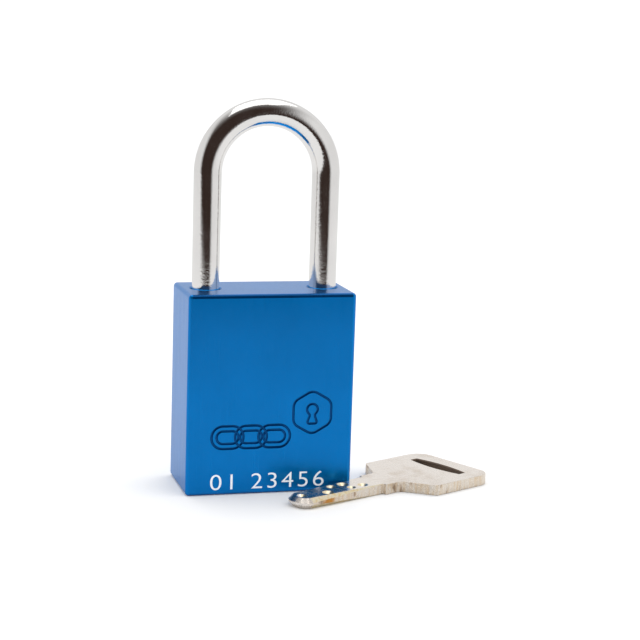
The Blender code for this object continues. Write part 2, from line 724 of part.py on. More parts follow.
def is_nose_rim(edge, nose_end):
    """True for an edge that runs round the key's nose on its upper or lower face."""
    first, second = (vert.co for vert in edge.verts)
    level = abs(first.z - second.z) < KEY_THICKNESS / 2
    return level and max(first.x, second.x) < nose_end


def key_rest_place():
    """Where the key's stop lies, with the blade's far edge passing the body's front corner."""
    corner = Vector((MID_X + BODY_W / 2 - EDGE_R, -BODY_D / 2 + EDGE_R, 0.0))
    along = Vector((math.cos(KEY_HEADING), math.sin(KEY_HEADING), 0.0))
    across = Vector((-math.sin(KEY_HEADING), math.cos(KEY_HEADING), 0.0))
    return corner + along * KEY_STOP_PAST_CORNER - across * (EDGE_R + GAP + KEY_WIDTH / 2)


def main():
    clear_scene()
    make_collection(PARTS)
    make_collection(CUTTERS)
    for name, (colour, roughness, metallic) in FINISHES.items():
        make_finish(name, colour, roughness, metallic)
    heel_axis = make_empty("heel_axis", (HEEL_X, 0, 0))
    plug_axis = make_empty("plug_axis", (MID_X, 0, 0))
    rest_place = key_rest_place()
    key_rest = make_empty("key_rest", rest_place)
    key_rest.rotation_euler = (0, 0, KEY_HEADING)

    make_body()
    make_shackle(heel_axis)
    make_shackle_spring(heel_axis)
    make_balls()
    make_cam(plug_axis)
    make_shell()
    make_plug(plug_axis)
    make_circlip(plug_axis)
    make_pins(plug_axis)
    make_cylinder_screw()
    make_key(key_rest, rest_place)


main()
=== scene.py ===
"""Keyed safety padlock with its dimple key: the finished surfaces around the packed frame.

The file is laid out as an add-on and is run as a script. It loads the frame, registers its classes and
calls its operators in order. A piece is a surface worked out on a grid of points: a profile turned about
an axis, a circle carried along a path, or an outline raised into a plate with eased rims. Holes, slots
and grooves are such surfaces too, taken out with exact Booleans.

Metres, +Z up. +X runs from the heel leg to the toe leg and +Y from the front to the back.
"""

import json
import math

import bmesh
import bpy
import numpy as np
from bpy.props import FloatProperty, FloatVectorProperty, IntProperty, PointerProperty, StringProperty
from bpy.types import NodeSocket, Operator, Panel, PropertyGroup
from mathutils import Matrix, Vector


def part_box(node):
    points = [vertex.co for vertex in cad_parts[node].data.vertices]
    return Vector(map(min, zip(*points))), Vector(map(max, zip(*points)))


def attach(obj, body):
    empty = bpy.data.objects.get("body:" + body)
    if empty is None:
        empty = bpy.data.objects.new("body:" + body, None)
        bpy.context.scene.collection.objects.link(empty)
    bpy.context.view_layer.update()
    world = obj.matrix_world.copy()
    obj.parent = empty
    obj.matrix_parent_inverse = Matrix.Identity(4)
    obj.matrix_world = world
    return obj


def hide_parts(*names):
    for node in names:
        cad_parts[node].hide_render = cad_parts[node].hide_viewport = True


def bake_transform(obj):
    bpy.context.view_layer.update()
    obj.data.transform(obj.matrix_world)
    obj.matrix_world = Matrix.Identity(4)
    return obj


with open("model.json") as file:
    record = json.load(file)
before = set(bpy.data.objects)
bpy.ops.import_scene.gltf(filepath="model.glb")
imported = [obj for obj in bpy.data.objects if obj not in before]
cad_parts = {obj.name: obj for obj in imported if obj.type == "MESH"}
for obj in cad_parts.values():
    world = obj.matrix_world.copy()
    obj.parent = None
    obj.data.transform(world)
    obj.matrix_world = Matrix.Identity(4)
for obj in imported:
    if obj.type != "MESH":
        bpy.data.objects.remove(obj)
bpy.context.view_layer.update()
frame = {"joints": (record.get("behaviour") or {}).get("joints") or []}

bl_info = {
    "name": "Keyed safety padlock",
    "version": (1, 0, 0),
    "blender": (4, 5, 0),
    "location": "3D View > Sidebar > Padlock",
    "description": "Builds the finished surfaces of a keyed safety padlock around its packed frame",
    "category": "Object",
}

MM = 0.001
GAP = 0.3 * MM  # air between neighbouring pieces
OVERRUN = 1.0 * MM  # how far a tool runs past the face that it opens
WELD = 1e-7
ON_FACE = 1e-6  # a point nearer to a plane than this lies on it
FULL_TURN = 2 * math.pi
SQUARE = np.array([(-1, -1), (1, -1), (1, 1), (-1, 1)])


def corners(node):
    """Lowest and highest corner of a frame node, as arrays."""
    low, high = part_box(node)
    return np.array(low), np.array(high)


# Places and radii that the frame gives
BODY_LOW, BODY_HIGH = corners("body")
SHACKLE_LOW, SHACKLE_HIGH = corners("shackle")
BAR_R = (SHACKLE_HIGH[1] - SHACKLE_LOW[1]) / 2
HEEL_X = SHACKLE_LOW[0] + BAR_R
TOE_X = SHACKLE_HIGH[0] - BAR_R
MID_X = (HEEL_X + TOE_X) / 2
PITCH = TOE_X - HEEL_X
HEEL_BALL_LOW, HEEL_BALL_HIGH = corners("heel_ball")
TOE_BALL_LOW, TOE_BALL_HIGH = corners("toe_ball")
HEEL_BALL_X = (HEEL_BALL_LOW[0] + HEEL_BALL_HIGH[0]) / 2
TOE_BALL_X = (TOE_BALL_LOW[0] + TOE_BALL_HIGH[0]) / 2
BALL_R = (HEEL_BALL_HIGH[2] - HEEL_BALL_LOW[2]) / 2
BALL_Z = (HEEL_BALL_HIGH[2] + HEEL_BALL_LOW[2]) / 2
SHELL_LOW, SHELL_HIGH = corners("cylinder_shell")
SHELL_R = SHELL_HIGH[1]
HOUSING_REACH = SHELL_HIGH[0] - MID_X
PLUG_LOW, PLUG_HIGH = corners("plug")
RIM_R = PLUG_HIGH[1]
CLIP_LOW, CLIP_HIGH = corners("plug_circlip")
CAM_LOW, CAM_HIGH = corners("locking_cam")
STRIP_LOW, STRIP_HIGH = corners("pin_cover_strip")
SCREW_LOW, SCREW_HIGH = corners("cylinder_screw")
SPRING_LOW, SPRING_HIGH = corners("shackle_spring")
KEY_THICKNESS = corners("key")[1][2]
LIFT = next(joint["range_m"][1] for joint in frame["joints"] if joint["name"] == "shackle_lift")

# Sizes that several pieces share and the frame doesn't give
PIN_COUNT = 6
PIN_TIP_R = 0.35 * MM
PIN_SLOPE = 1.2
HOUSING_CORNER = 1.2 * MM
SCREW_SHANK_R = 1.75 * MM
TAIL_LONG = 6.4 * MM
TAIL_SHORT = 2.0 * MM

# Stage
FLOOR_HALF_WIDTH = 0.9
FLOOR_FRONT = -0.27
FLOOR_BACK = 1.2
FLOOR_TOP = -0.05 * MM  # a hair below the base
FLOOR_FOOT = -4 * MM
BACKDROP_WHITE = (1.12, 1.12, 1.12, 1.0)
TENT_WHITE = (0.78, 0.78, 0.78, 1.0)
OPENING_DARK = (0.036, 0.023, 0.019, 1.0)
OPENING_AZIMUTH = math.radians(-24)
OPENING_AHEAD = (-0.60, 0.76)  # cosines of the angle from straight ahead where the dark starts and is full
OPENING_ASIDE = (0.88, 0.60)  # the same, for the angle from straight to the side
CAMERA_AZIMUTH = math.radians(-15.77)
CAMERA_ELEVATION = math.radians(10.10)
CAMERA_ROLL = math.radians(1.89)
CAMERA_PLACE = Vector((-0.08046, -0.38461, 0.11063))
CAMERA_LENS = 95.3


def length(name, description, millimetres):
    """A property that holds a length."""
    return FloatProperty(
        name=name, description=description, default=millimetres * MM, min=0.0, precision=5, unit="LENGTH"
    )


def colour(name, description, red, green, blue):
    """A property that holds a colour."""
    return FloatVectorProperty(
        name=name, description=description, default=(red, green, blue), min=0.0, max=1.0, subtype="COLOR"
    )


class PadlockBodySizes(PropertyGroup):
    """Sizes of the body block and its markings."""

    edge_radius: length("Edge radius", "Rounding of the block's outer edges", 0.9)
    leg_clearance: length("Leg clearance", "Air around a shackle leg in its bore", 0.35)
    bore_chamfer: length("Bore chamfer", "Chamfer at the mouths of the leg bores", 0.3)
    heel_floor: length("Heel bore floor", "Height of the floor under the heel leg", 4.0)
    toe_floor: length("Toe bore floor", "Height of the floor under the toe leg", 31.0)
    groove_width: length("Groove width", "Width of the engraved lines", 0.6)
    number_height: length("Number height", "Height of the printed digits", 3.7)
    number_width: length("Number width", "Length of the printed number", 27.5)
    number_foot: length("Number foot", "Height of the digits above the base", 1.25)
    number: StringProperty(name="Number", description="Digits printed on the front", default="01 23456")


class PadlockShackleSizes(PropertyGroup):
    """Sizes of the shackle, its balls and its spring."""

    end_chamfer: length("End chamfer", "Chamfer at the ends of the legs", 0.8)
    toe_tail: length("Toe tail", "Length of the toe leg below the ball's middle", 6.5)
    toe_bite: length("Toe bite", "Depth that the toe ball enters the bar", 2.0)
    heel_bite: length("Heel bite", "Depth that the heel ball enters the bar", 1.0)
    spring_wire: length("Spring wire", "Diameter of the shackle spring's wire", 0.8)
    spring_turns: IntProperty(name="Spring turns", description="Turns of the shackle spring", default=7)


class PadlockCylinderSizes(PropertyGroup):
    """Sizes of the lock cylinder and its pins."""

    plug_radius: length("Plug radius", "Radius of the plug's barrel", 5.9)
    rim_height: length("Rim height", "Height of the plug's rim", 1.4)
    groove_radius: length("Groove radius", "Radius of the plug at the clip's groove", 5.0)
    neck_radius: length("Neck radius", "Radius of the plug above the clip", 5.5)
    keyway_width: length("Keyway width", "Long side of the keyway", 7.9)
    keyway_height: length("Keyway height", "Short side of the keyway", 3.0)
    housing_width: length("Housing width", "Width of the pin housing", 9.2)
    tool_break: length("Broken edge", "Chamfer where a tool has broken a sharp edge", 0.15)
    pin_diameter: length("Pin diameter", "Diameter of the pins", 1.9)
    pin_wire: length("Pin spring wire", "Diameter of the pin springs' wire", 0.3)
    pin_turns: IntProperty(name="Pin spring turns", description="Turns of a pin spring", default=6)
    thread_pitch: length("Thread pitch", "Pitch of the screw's thread", 0.6)


class PadlockKeySizes(PropertyGroup):
    """Sizes of the key, measured from its stop."""

    blade_length: length("Blade length", "From the stop to the tip", 25.2)
    blade_width: length("Blade width", "Width of the blade", 7.4)
    nose_length: length("Nose length", "Length of the rounded nose", 3.0)
    nose_chamfer: length("Nose chamfer", "Chamfer around the nose", 1.0)
    neck_width: length("Neck width", "Width just behind the stop", 9.4)
    neck_length: length("Neck length", "From the stop to the shoulders", 4.8)
    bow_start: length("Bow start", "From the stop to the bow's widest part", 9.4)
    bow_length: length("Bow end", "From the stop to the bow's end", 28.6)
    bow_width: length("Bow width", "Width of the bow", 25.0)
    bow_corner: length("Bow corner", "Radius of the bow's two end corners", 4.0)
    slot_centre: length("Slot centre", "From the stop to the slot's middle", 22.2)
    slot_length: length("Slot length", "Length of the slot across the bow", 16.2)
    slot_middle: length("Slot middle", "Width of the slot in its middle", 3.7)
    slot_end: length("Slot end", "Width of the slot at its ends", 1.8)
    edge_break: length("Edge break", "Rounding of the key's edges", 0.07)
    heading: FloatProperty(
        name="Heading", description="Turn of the key", default=math.radians(26.6), unit="ROTATION"
    )
    past_corner: length("Past corner", "From the body's corner to the stop, along the key", 4.2)


class PadlockFinishes(PropertyGroup):
    """Colours of the finishes."""

    body_blue: colour("Anodised blue", "Dye of the anodised block", 0.001, 0.215, 0.64)
    # Painted shade: a darker copy of the anodised blue, laid in the engraved lines where shade falls.
    groove_shade_blue: colour("Groove blue", "Dye in the engraved lines", 0.001, 0.085, 0.29)
    print_white: colour("Printed white", "Ink of the printed number", 0.86, 0.90, 0.93)
    chrome: colour("Chrome", "Plating of the shackle", 0.90, 0.885, 0.87)
    nickel: colour("Nickel", "Plating of the key", 0.97, 0.90, 0.83)
    worn_edge: colour("Worn edge", "Brass that shows along the key's edges", 0.80, 0.64, 0.46)
    cut_brass: colour("Cut brass", "Fresh brass in the key's dimples", 0.98, 0.90, 0.70)
    # Painted shade: a brown laid on the walls of the key's slot where shade falls.
    slot_shade_brown: colour("Tarnish", "Brown brass inside the key's slot", 0.17, 0.12, 0.085)
    turned_brass: colour("Turned brass", "Brass of the cylinder", 0.78, 0.56, 0.24)
    ball_steel: colour("Ball steel", "Hardened steel of the balls", 0.62, 0.62, 0.63)
    zinc: colour("Zinc", "Plating of the cam and the screw", 0.66, 0.67, 0.69)
    spring_steel: colour("Spring steel", "Oiled wire of the springs", 0.36, 0.35, 0.34)
    floor_white: colour("Floor", "Paper that the padlock stands on", 0.93, 0.93, 0.93)


# ---------------------------------------------------------------- surfaces


def stand(points, place, axis):
    """Turn local +Z to the named axis by a cyclic swap of the coordinates, then move to the place."""
    swap = {"Z": 0, "X": 1, "Y": 2}[axis]
    return np.roll(points, swap, axis=-1) + np.asarray(place)


def sealed(mesh):
    """Weld the points that meet and turn every face outwards."""
    bm = bmesh.new()
    bm.from_mesh(mesh)
    bmesh.ops.remove_doubles(bm, verts=bm.verts, dist=WELD)
    bmesh.ops.recalc_face_normals(bm, faces=bm.faces)
    bm.to_mesh(mesh)
    bm.free()
    return mesh


def solid(name, rings, looped=False):
    """Close rings of points into a solid: neighbours are joined by quads, and the first and last ring are
    closed by flat faces or, when looped, joined to each other."""
    rows, columns = rings.shape[:2]
    row = np.arange(rows if looped else rows - 1)[:, None]
    column = np.arange(columns)[None, :]
    right = (column + 1) % columns
    above = (row + 1) % rows
    quads = np.stack(
        [row * columns + column, row * columns + right, above * columns + right, above * columns + column],
        axis=-1,
    )
    faces = quads.reshape(-1, 4).tolist()
    if not looped:
        faces.append(np.arange(columns)[::-1].tolist())
        faces.append(np.arange((rows - 1) * columns, rows * columns).tolist())
    mesh = bpy.data.meshes.new(name)
    mesh.from_pydata(rings.reshape(-1, 3).tolist(), [], faces)
    return sealed(mesh)


def softened(points, reach, steps=5, closed=True):
    """Round the corners of an outline. Each corner is swapped for the arc that leaves its two sides at
    the given reach: a rational parabola (1-t)^2 a + 2wt(1-t) corner + t^2 b over the same sum of weights,
    with w the cosine of half the turn, and t chosen so that the arc is walked at an even pace."""
    corner = np.asarray(points, float)
    before = np.roll(corner, 1, axis=0) - corner
    after = np.roll(corner, -1, axis=0) - corner
    size_before = np.linalg.norm(before, axis=1, keepdims=True)
    size_after = np.linalg.norm(after, axis=1, keepdims=True)
    reach = np.broadcast_to(reach, len(corner))[:, None]
    reach = np.minimum(reach, 0.49 * np.minimum(size_before, size_after))
    start = corner + before / size_before * reach
    end = corner + after / size_after * reach
    cosine = -np.sum(before * after, axis=1, keepdims=True) / (size_before * size_after)
    half_turn = np.arccos(np.clip(cosine, -1, 1))[:, None].clip(1e-4) / 2
    weight = np.cos(half_turn)
    share = np.linspace(0, 1, steps + 1)[None, :, None]
    t = np.sin(half_turn * share)
    t = t / (t + np.sin(half_turn * (1 - share)))
    near, middle, far = (1 - t) ** 2, 2 * weight * t * (1 - t), t**2
    curve = near * start[:, None] + middle * corner[:, None] + far * end[:, None]
    curve = curve / (near + middle + far)
    if not closed:
        curve[0], curve[-1] = corner[0], corner[-1]
    return curve.reshape(-1, 2)


def arc(centre, radius, start, end, steps):
    """Points on an arc of a circle, by angle in degrees."""
    angle = np.radians(np.linspace(start, end, steps + 1))
    return np.stack([centre[0] + radius * np.cos(angle), centre[1] + radius * np.sin(angle)], axis=1)


def outward(outline):
    """Outward directions at the points of an anticlockwise outline, long enough to keep the sides
    parallel when every point is moved by the same amount."""
    side = np.roll(outline, -1, axis=0) - outline
    side = side / np.linalg.norm(side, axis=1, keepdims=True)
    after = np.stack([side[:, 1], -side[:, 0]], axis=1)
    before = np.roll(after, 1, axis=0)
    return (before + after) / (1 + np.sum(before * after, axis=1, keepdims=True))


def plate(outline, low, high, edge, steps=4):
    """Rings of a plate with eased rims: at an angle a from nought to a quarter turn the outline is drawn
    in by edge (1 - sin a) at the height edge (1 - cos a) from either face. One step gives a chamfer."""
    angle = np.linspace(0, math.pi / 2, steps + 1)
    draw = np.concatenate([1 - np.sin(angle), (1 - np.sin(angle))[::-1]])[:, None]
    edge = np.broadcast_to(edge, len(outline))[None, :]
    rise = (1 - np.cos(angle))[:, None] * edge
    height = np.concatenate([low + rise, high - rise[::-1]])
    flat = outline[None] - (draw * edge)[..., None] * outward(outline)[None]
    return np.concatenate([flat, height[..., None]], axis=-1)


def prism(name, outline, levels):
    """A solid through one outline, which is grown by its own amount at each (height, growth) level."""
    height, growth = np.array(levels)[:, :, None, None].transpose(1, 0, 2, 3)
    flat = outline[None] + growth * outward(outline)[None]
    return solid(name, np.concatenate([flat, np.broadcast_to(height, (*flat.shape[:2], 1))], axis=-1))


def turned(profile, place=(0, 0, 0), axis="Z", steps=72):
    """Rings of a turned solid: each (radius, height) point of the profile is carried round the axis."""
    profile = np.asarray(profile, float)
    angle = np.linspace(0, FULL_TURN, steps, endpoint=False)
    radius = profile[:, 0, None]
    height = np.broadcast_to(profile[:, 1, None], (len(profile), steps))
    return stand(np.stack([radius * np.cos(angle), radius * np.sin(angle), height], axis=-1), place, axis)


def tube(path, radius, across, steps=24, looped=False):
    """Rings of a round bar: a circle is carried square to the path, and the direction across, which
    never lies along the path, keeps the circle from twisting."""
    if looped:
        along = np.roll(path, -1, axis=0) - np.roll(path, 1, axis=0)
    else:
        along = np.gradient(path, axis=0)
    side = np.cross(along, across)
    side = side / np.linalg.norm(side, axis=1, keepdims=True)
    other = np.cross(along / np.linalg.norm(along, axis=1, keepdims=True), side)
    angle = np.linspace(0, FULL_TURN, steps, endpoint=False)[None, :, None]
    circle = np.cos(angle) * side[:, None] + np.sin(angle) * other[:, None]
    radius = np.broadcast_to(radius, len(path))[:, None, None]
    return path[:, None] + radius * circle


def rod(name, radius, low, high, place, axis="Z", steps=48, flare=0.0):
    """A plain round tool; a flare widens its far end by a cone of 45 degrees."""
    profile = [(radius, low), (radius, high)]
    if flare:
        profile = [(radius, low), (radius, high - flare), (radius + flare + OVERRUN, high + OVERRUN)]
    return solid(name, turned(profile, place, axis, steps))


def block(name, low, high, edge=0.0):
    """A box between two corners, with its edges eased when edge is given. Its upright corners reach a
    little further than the rims are drawn in, so that the rims don't fold."""
    plan = [(low[0], low[1]), (high[0], low[1]), (high[0], high[1]), (low[0], high[1])]
    if not edge:
        return solid(name, plate(np.array(plan), low[2], high[2], 0.0, 1))
    return solid(name, plate(softened(plan, 1.03 * edge), low[2], high[2], edge))


def coil(coil_radius, wire_radius, span, turns, steps_per_turn=40):
    """Centre line of a compression spring along +Z: the angle grows evenly. The height grows by one wire
    and a little more per turn over the closed turns at both ends, and by a steeper ramp between them."""
    closed = 0.8
    share = np.linspace(0, 1, int(turns * steps_per_turn) + 1)
    angle = FULL_TURN * turns * share
    flat = closed / turns
    ramp = np.clip((share - flat) / (1 - 2 * flat), 0, 1)
    ends = np.minimum(share, flat) + np.maximum(share - 1 + flat, 0)
    solid_rise = 2.1 * wire_radius * turns
    height = wire_radius + solid_rise * ends
    height = height + (span - 2 * wire_radius - solid_rise * 2 * flat) * ramp
    return np.stack([coil_radius * np.cos(angle), coil_radius * np.sin(angle), height], axis=1)


def carved(name, mesh, tools, operation="DIFFERENCE"):
    """Take the tools out of a mesh, or join them on, in one exact Boolean. It is worked out a thousand
    times larger, where the solver's own tolerances are small beside the parts."""
    scene = bpy.context.scene
    for part in [mesh, *tools]:
        part.transform(Matrix.Scale(1 / MM, 4))
    base = bpy.data.objects.new(name, mesh)
    scene.collection.objects.link(base)
    box = bpy.data.collections.new("tools")
    scene.collection.children.link(box)
    helpers = [bpy.data.objects.new(tool.name, tool) for tool in tools]
    for helper in helpers:
        box.objects.link(helper)
    cut = base.modifiers.new("cut", "BOOLEAN")
    cut.operation = operation
    cut.solver = "EXACT"
    cut.operand_type = "COLLECTION"
    cut.collection = box
    bpy.context.view_layer.update()
    graph = bpy.context.evaluated_depsgraph_get()
    result = bpy.data.meshes.new_from_object(base.evaluated_get(graph))
    for obj in [base, *helpers]:
        bpy.data.objects.remove(obj)
    bpy.data.collections.remove(box)
    if not result.polygons:
        raise RuntimeError(f"cutting {name} left nothing")
    result.transform(Matrix.Scale(MM, 4))
    return result


def middles_and_normals(mesh):
    """Centres and normals of a mesh's faces, as arrays."""
    count = len(mesh.polygons)
    middle = np.zeros(count * 3)
    normal = np.zeros(count * 3)
    mesh.polygons.foreach_get("center", middle)
    mesh.polygons.foreach_get("normal", normal)
    return middle.reshape(-1, 3), normal.reshape(-1, 3)


def piece(name, mesh, finishes, body, replaced=(), crease=30, which=None):
    """Finish a piece: creased smooth shading with flat faces kept flat, its finishes and the body that it
    rides on. which gives each face's finish by number."""
    mesh.name = name
    obj = bpy.data.objects.new(name, mesh)
    bpy.context.scene.collection.objects.link(obj)
    mesh.materials.clear()
    for finish in finishes:
        mesh.materials.append(finish)
    number = np.zeros(len(mesh.polygons), np.int32) if which is None else which.astype(np.int32)
    mesh.polygons.foreach_set("material_index", number)
    mesh.shade_smooth()
    mesh.set_sharp_from_angle(angle=math.radians(crease))
    even = obj.modifiers.new("even_shading", "WEIGHTED_NORMAL")
    even.keep_sharp = True
    if replaced:
        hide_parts(*replaced)
    if body:
        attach(obj, body)
    return obj


# ---------------------------------------------------------------- finishes


class Nodes:
    """A node tree under construction. A value is a constant or another node's output."""

    def __init__(self, tree):
        self.tree = tree

    def add(self, kind, **settings):
        """A new node with its settings."""
        node = self.tree.nodes.new(kind)
        for setting, value in settings.items():
            setattr(node, setting, value)
        return node

    def put(self, value, target):
        """Give a value to an input."""
        if isinstance(value, NodeSocket):
            self.tree.links.new(value, target)
        else:
            target.default_value = value

    def feed(self, node, **inputs):
        """Give values to a node's inputs by name; underscores stand for spaces."""
        for name, value in inputs.items():
            self.put(value, node.inputs[name.replace("_", " ")])
        return node

    def math(self, operation, *values):
        """The result of a calculation with numbers."""
        node = self.add("ShaderNodeMath", operation=operation)
        for value, target in zip(values, node.inputs):
            self.put(value, target)
        return node.outputs["Value"]

    def vector(self, operation, *values):
        """The result of a calculation with vectors. For a length or a dot product it is a number."""
        node = self.add("ShaderNodeVectorMath", operation=operation)
        for value, target in zip(values, node.inputs):
            self.put(value, target)
        return node.outputs["Value" if operation in ("LENGTH", "DOT_PRODUCT") else "Vector"]

    def span(self, value, low, high, first=0.0, last=1.0, shape="LINEAR"):
        """Map a value from one range to another, held at both ends."""
        node = self.add("ShaderNodeMapRange", interpolation_type=shape)
        self.feed(node, Value=value, From_Min=low, From_Max=high, To_Min=first, To_Max=last)
        return node.outputs["Result"]

    def blend(self, share, first, second):
        """A colour between two others, the first where the share is nought."""
        node = self.add("ShaderNodeMix", data_type="RGBA")
        colours = [socket for socket in (*node.inputs, *node.outputs) if socket.type == "RGBA"]
        self.feed(node, Factor=share)
        self.put(first, colours[0])
        self.put(second, colours[1])
        return colours[2]


class Finish(Nodes):
    """A material under construction, with one short call for each kind of pattern. Patterns read Object
    coordinates in millimetres, from a centre and a turn of their own."""

    def __init__(self, name, tint, roughness, metallic, centre=(0, 0, 0), turn=0.0):
        self.material = bpy.data.materials.new(name)
        self.material.use_nodes = True
        super().__init__(self.material.node_tree)
        self.shader = self.tree.nodes["Principled BSDF"]
        self.tint = tuple(tint)
        self.present = (*tint, 1.0)
        self.feed(self.shader, Base_Color=self.present, Roughness=roughness, Metallic=metallic)
        mapping = self.add("ShaderNodeMapping", vector_type="TEXTURE")
        place = self.add("ShaderNodeTexCoord").outputs["Object"]
        self.feed(mapping, Vector=place, Location=centre, Rotation=(0, 0, turn), Scale=(MM, MM, MM))
        self.coords = mapping.outputs["Vector"]

    def noise(self, scale, detail=2.0, stretch=(1, 1, 1), distortion=0.0):
        """Cloudy noise; scale is in features per millimetre, and a small stretch draws them out."""
        node = self.add("ShaderNodeTexNoise")
        coords = self.vector("MULTIPLY", self.coords, stretch)
        self.feed(node, Vector=coords, Scale=scale, Detail=detail, Distortion=distortion)
        return node.outputs["Fac"]

    def rings(self, scale):
        """Tool marks in rings about the upright axis through the centre."""
        node = self.add("ShaderNodeTexWave", wave_type="RINGS", rings_direction="Z")
        self.feed(node, Vector=self.coords, Scale=scale, Distortion=0.4, Detail=2.0)
        return node.outputs["Fac"]

    def cells(self, scale):
        """A random value for each cell of a Voronoi pattern."""
        node = self.feed(self.add("ShaderNodeTexVoronoi"), Vector=self.coords, Scale=scale)
        split = self.feed(self.add("ShaderNodeSeparateColor"), Color=node.outputs["Color"])
        return split.outputs[0]

    def near(self, point, radius, stretch=(1, 1, 1)):
        """One at a point, falling to nought at a radius in millimetres."""
        offset = self.vector("SUBTRACT", self.coords, point)
        distance = self.vector("LENGTH", self.vector("MULTIPLY", offset, stretch))
        return self.span(distance, radius, 0.0)

    def darker(self, factor):
        """The finish's own colour, scaled down."""
        return [part * factor for part in self.tint]

    def start(self, tint):
        """Start from another colour than the finish's own."""
        self.present = (*tint, 1.0)

    def lay(self, tint, pattern, low, high, most=1.0):
        """Lay a colour over the present one, from nothing where the pattern is low to a share of most
        where it is high."""
        self.present = self.blend(self.span(pattern, low, high, 0.0, most), self.present, (*tint, 1.0))
        self.feed(self.shader, Base_Color=self.present)

    def gloss(self, pattern, low, high, smooth, rough):
        """Roughness from smooth where the pattern is low to rough where it is high."""
        self.feed(self.shader, Roughness=self.span(pattern, low, high, smooth, rough))

    def relief(self, height, depth):
        """Use a pattern as fine relief over any earlier one; depth is in millimetres."""
        bump = self.feed(self.add("ShaderNodeBump"), Height=height, Distance=depth * MM, Strength=1.0)
        earlier = self.shader.inputs["Normal"].links
        if earlier:
            self.feed(bump, Normal=earlier[0].from_socket)
        self.feed(self.shader, Normal=bump.outputs["Normal"])


def anodised_finish(name, tint):
    """Dyed anodised aluminium: a satin etched grain, faint drawing lines up the block and slow clouds."""
    finish = Finish(name, tint, 0.34, 0.9)
    finish.feed(finish.shader, Specular_IOR_Level=0.0, Coat_Weight=0.35, Coat_IOR=1.3, Coat_Roughness=0.12)
    finish.start(finish.darker(0.93))
    finish.lay(tint, finish.noise(0.09, 3.0), 0.35, 0.65)
    grain = finish.noise(7.0, 3.0)
    drawn = finish.noise(2.5, 2.0, (1.0, 1.0, 0.03))
    finish.gloss(finish.math("ADD", grain, drawn), 0.7, 1.3, 0.27, 0.37)
    finish.relief(grain, 0.004)
    finish.relief(drawn, 0.0015)
    return finish.material


def chrome_finish(tint):
    """Bright chrome over a polished bar: a slight ripple, fine pores and rubbed patches."""
    finish = Finish("chrome_plate", tint, 0.06, 1.0)
    finish.gloss(finish.noise(0.35, 3.0, (1.0, 1.0, 0.5)), 0.4, 0.7, 0.035, 0.10)
    finish.start(finish.darker(0.95))
    finish.lay(tint, finish.noise(0.12, 2.0), 0.35, 0.65)
    finish.relief(finish.noise(1.9, 3.0), 0.013)
    finish.relief(finish.noise(4.5, 2.0), 0.009)
    return finish.material


def key_face_finish(tint, centre, turn):
    """Worn nickel: long and short scratches, small dark nicks and warm blotches."""
    finish = Finish("nickel_plate", tint, 0.26, 1.0, centre, turn)
    finish.lay((0.70, 0.58, 0.46), finish.noise(0.22, 4.0), 0.48, 0.72, 0.55)
    finish.lay((0.22, 0.17, 0.15), finish.noise(1.9, 5.0), 0.69, 0.77, 0.85)
    long_scratch = finish.noise(1.0, 3.0, (0.10, 5.0, 1.0))
    cross_scratch = finish.noise(1.0, 3.0, (3.6, 0.35, 1.0), 0.6)
    scratches = finish.math("ADD", long_scratch, cross_scratch)
    finish.gloss(scratches, 0.75, 1.3, 0.17, 0.34)
    finish.relief(scratches, 0.005)
    finish.relief(finish.noise(2.4, 3.0), 0.003)
    return finish.material


def key_edge_finish(tint, centre, turn, stain_place):
    """Edges where the nickel has worn through: brassy streaks down the wall, brown stains and one rusty
    spot near the nose."""
    finish = Finish("worn_key_edge", tint, 0.34, 1.0, centre, turn)
    finish.start((0.88, 0.80, 0.70))
    finish.lay(tint, finish.noise(1.2, 4.0, (1.0, 1.0, 0.15)), 0.42, 0.66)
    finish.lay((0.33, 0.20, 0.11), finish.noise(0.5, 5.0, (1.0, 1.0, 0.5), 0.5), 0.56, 0.68, 0.8)
    spot = finish.near(stain_place, 2.4, (1.0, 1.0, 0.45))
    finish.lay((0.62, 0.27, 0.05), finish.math("MULTIPLY", spot, finish.noise(1.6, 4.0)), 0.06, 0.34, 0.95)
    finish.gloss(finish.noise(2.0, 3.0), 0.35, 0.65, 0.24, 0.48)
    finish.relief(finish.noise(3.0, 3.0, (1.0, 1.0, 0.3)), 0.012)
    return finish.material


def cut_brass_finish(tint, centre, turn):
    """Dimples cut by a spinning tool through the nickel into bright brass."""
    finish = Finish("cut_brass", tint, 0.30, 1.0, centre, turn)
    finish.lay((0.86, 0.60, 0.22), finish.noise(1.4, 3.0), 0.4, 0.7, 0.7)
    finish.relief(finish.noise(6.0, 3.0), 0.006)
    return finish.material


def slot_shade_finish(tint, centre, turn):
    """Brown painted shade in the key's slot, with lighter rubbed spots."""
    finish = Finish("tarnished_brass", tint, 0.55, 0.6, centre, turn)
    finish.lay((0.30, 0.20, 0.12), finish.noise(1.3, 4.0, (1.0, 1.0, 0.4)), 0.55, 0.75, 0.5)
    finish.relief(finish.noise(5.0, 3.0), 0.01)
    return finish.material


def brass_finish(name, tint, centre, ring_scale):
    """Turned brass: fine tool rings about the upright axis, clouds of tarnished brass and dark specks."""
    finish = Finish(name, tint, 0.28, 1.0, centre)
    finish.lay((0.50, 0.31, 0.11), finish.noise(0.35, 4.0), 0.42, 0.70, 0.75)
    finish.lay((0.16, 0.10, 0.05), finish.noise(3.2, 4.0), 0.70, 0.78, 0.6)
    marks = finish.rings(ring_scale)
    finish.gloss(marks, 0.0, 1.0, 0.22, 0.36)
    finish.relief(marks, 0.004)
    finish.relief(finish.noise(5.0, 3.0), 0.003)
    return finish.material


def ball_finish(tint):
    """Hardened bearing steel: mirror bright with fine rolling scratches and faint straw patches."""
    finish = Finish("hardened_steel", tint, 0.14, 1.0)
    finish.lay((0.54, 0.47, 0.37), finish.noise(0.8, 3.0), 0.5, 0.7, 0.5)
    scratch = finish.noise(3.0, 4.0, (1.0, 0.2, 2.2), 1.2)
    finish.gloss(scratch, 0.4, 0.65, 0.08, 0.24)
    finish.relief(scratch, 0.002)
    return finish.material


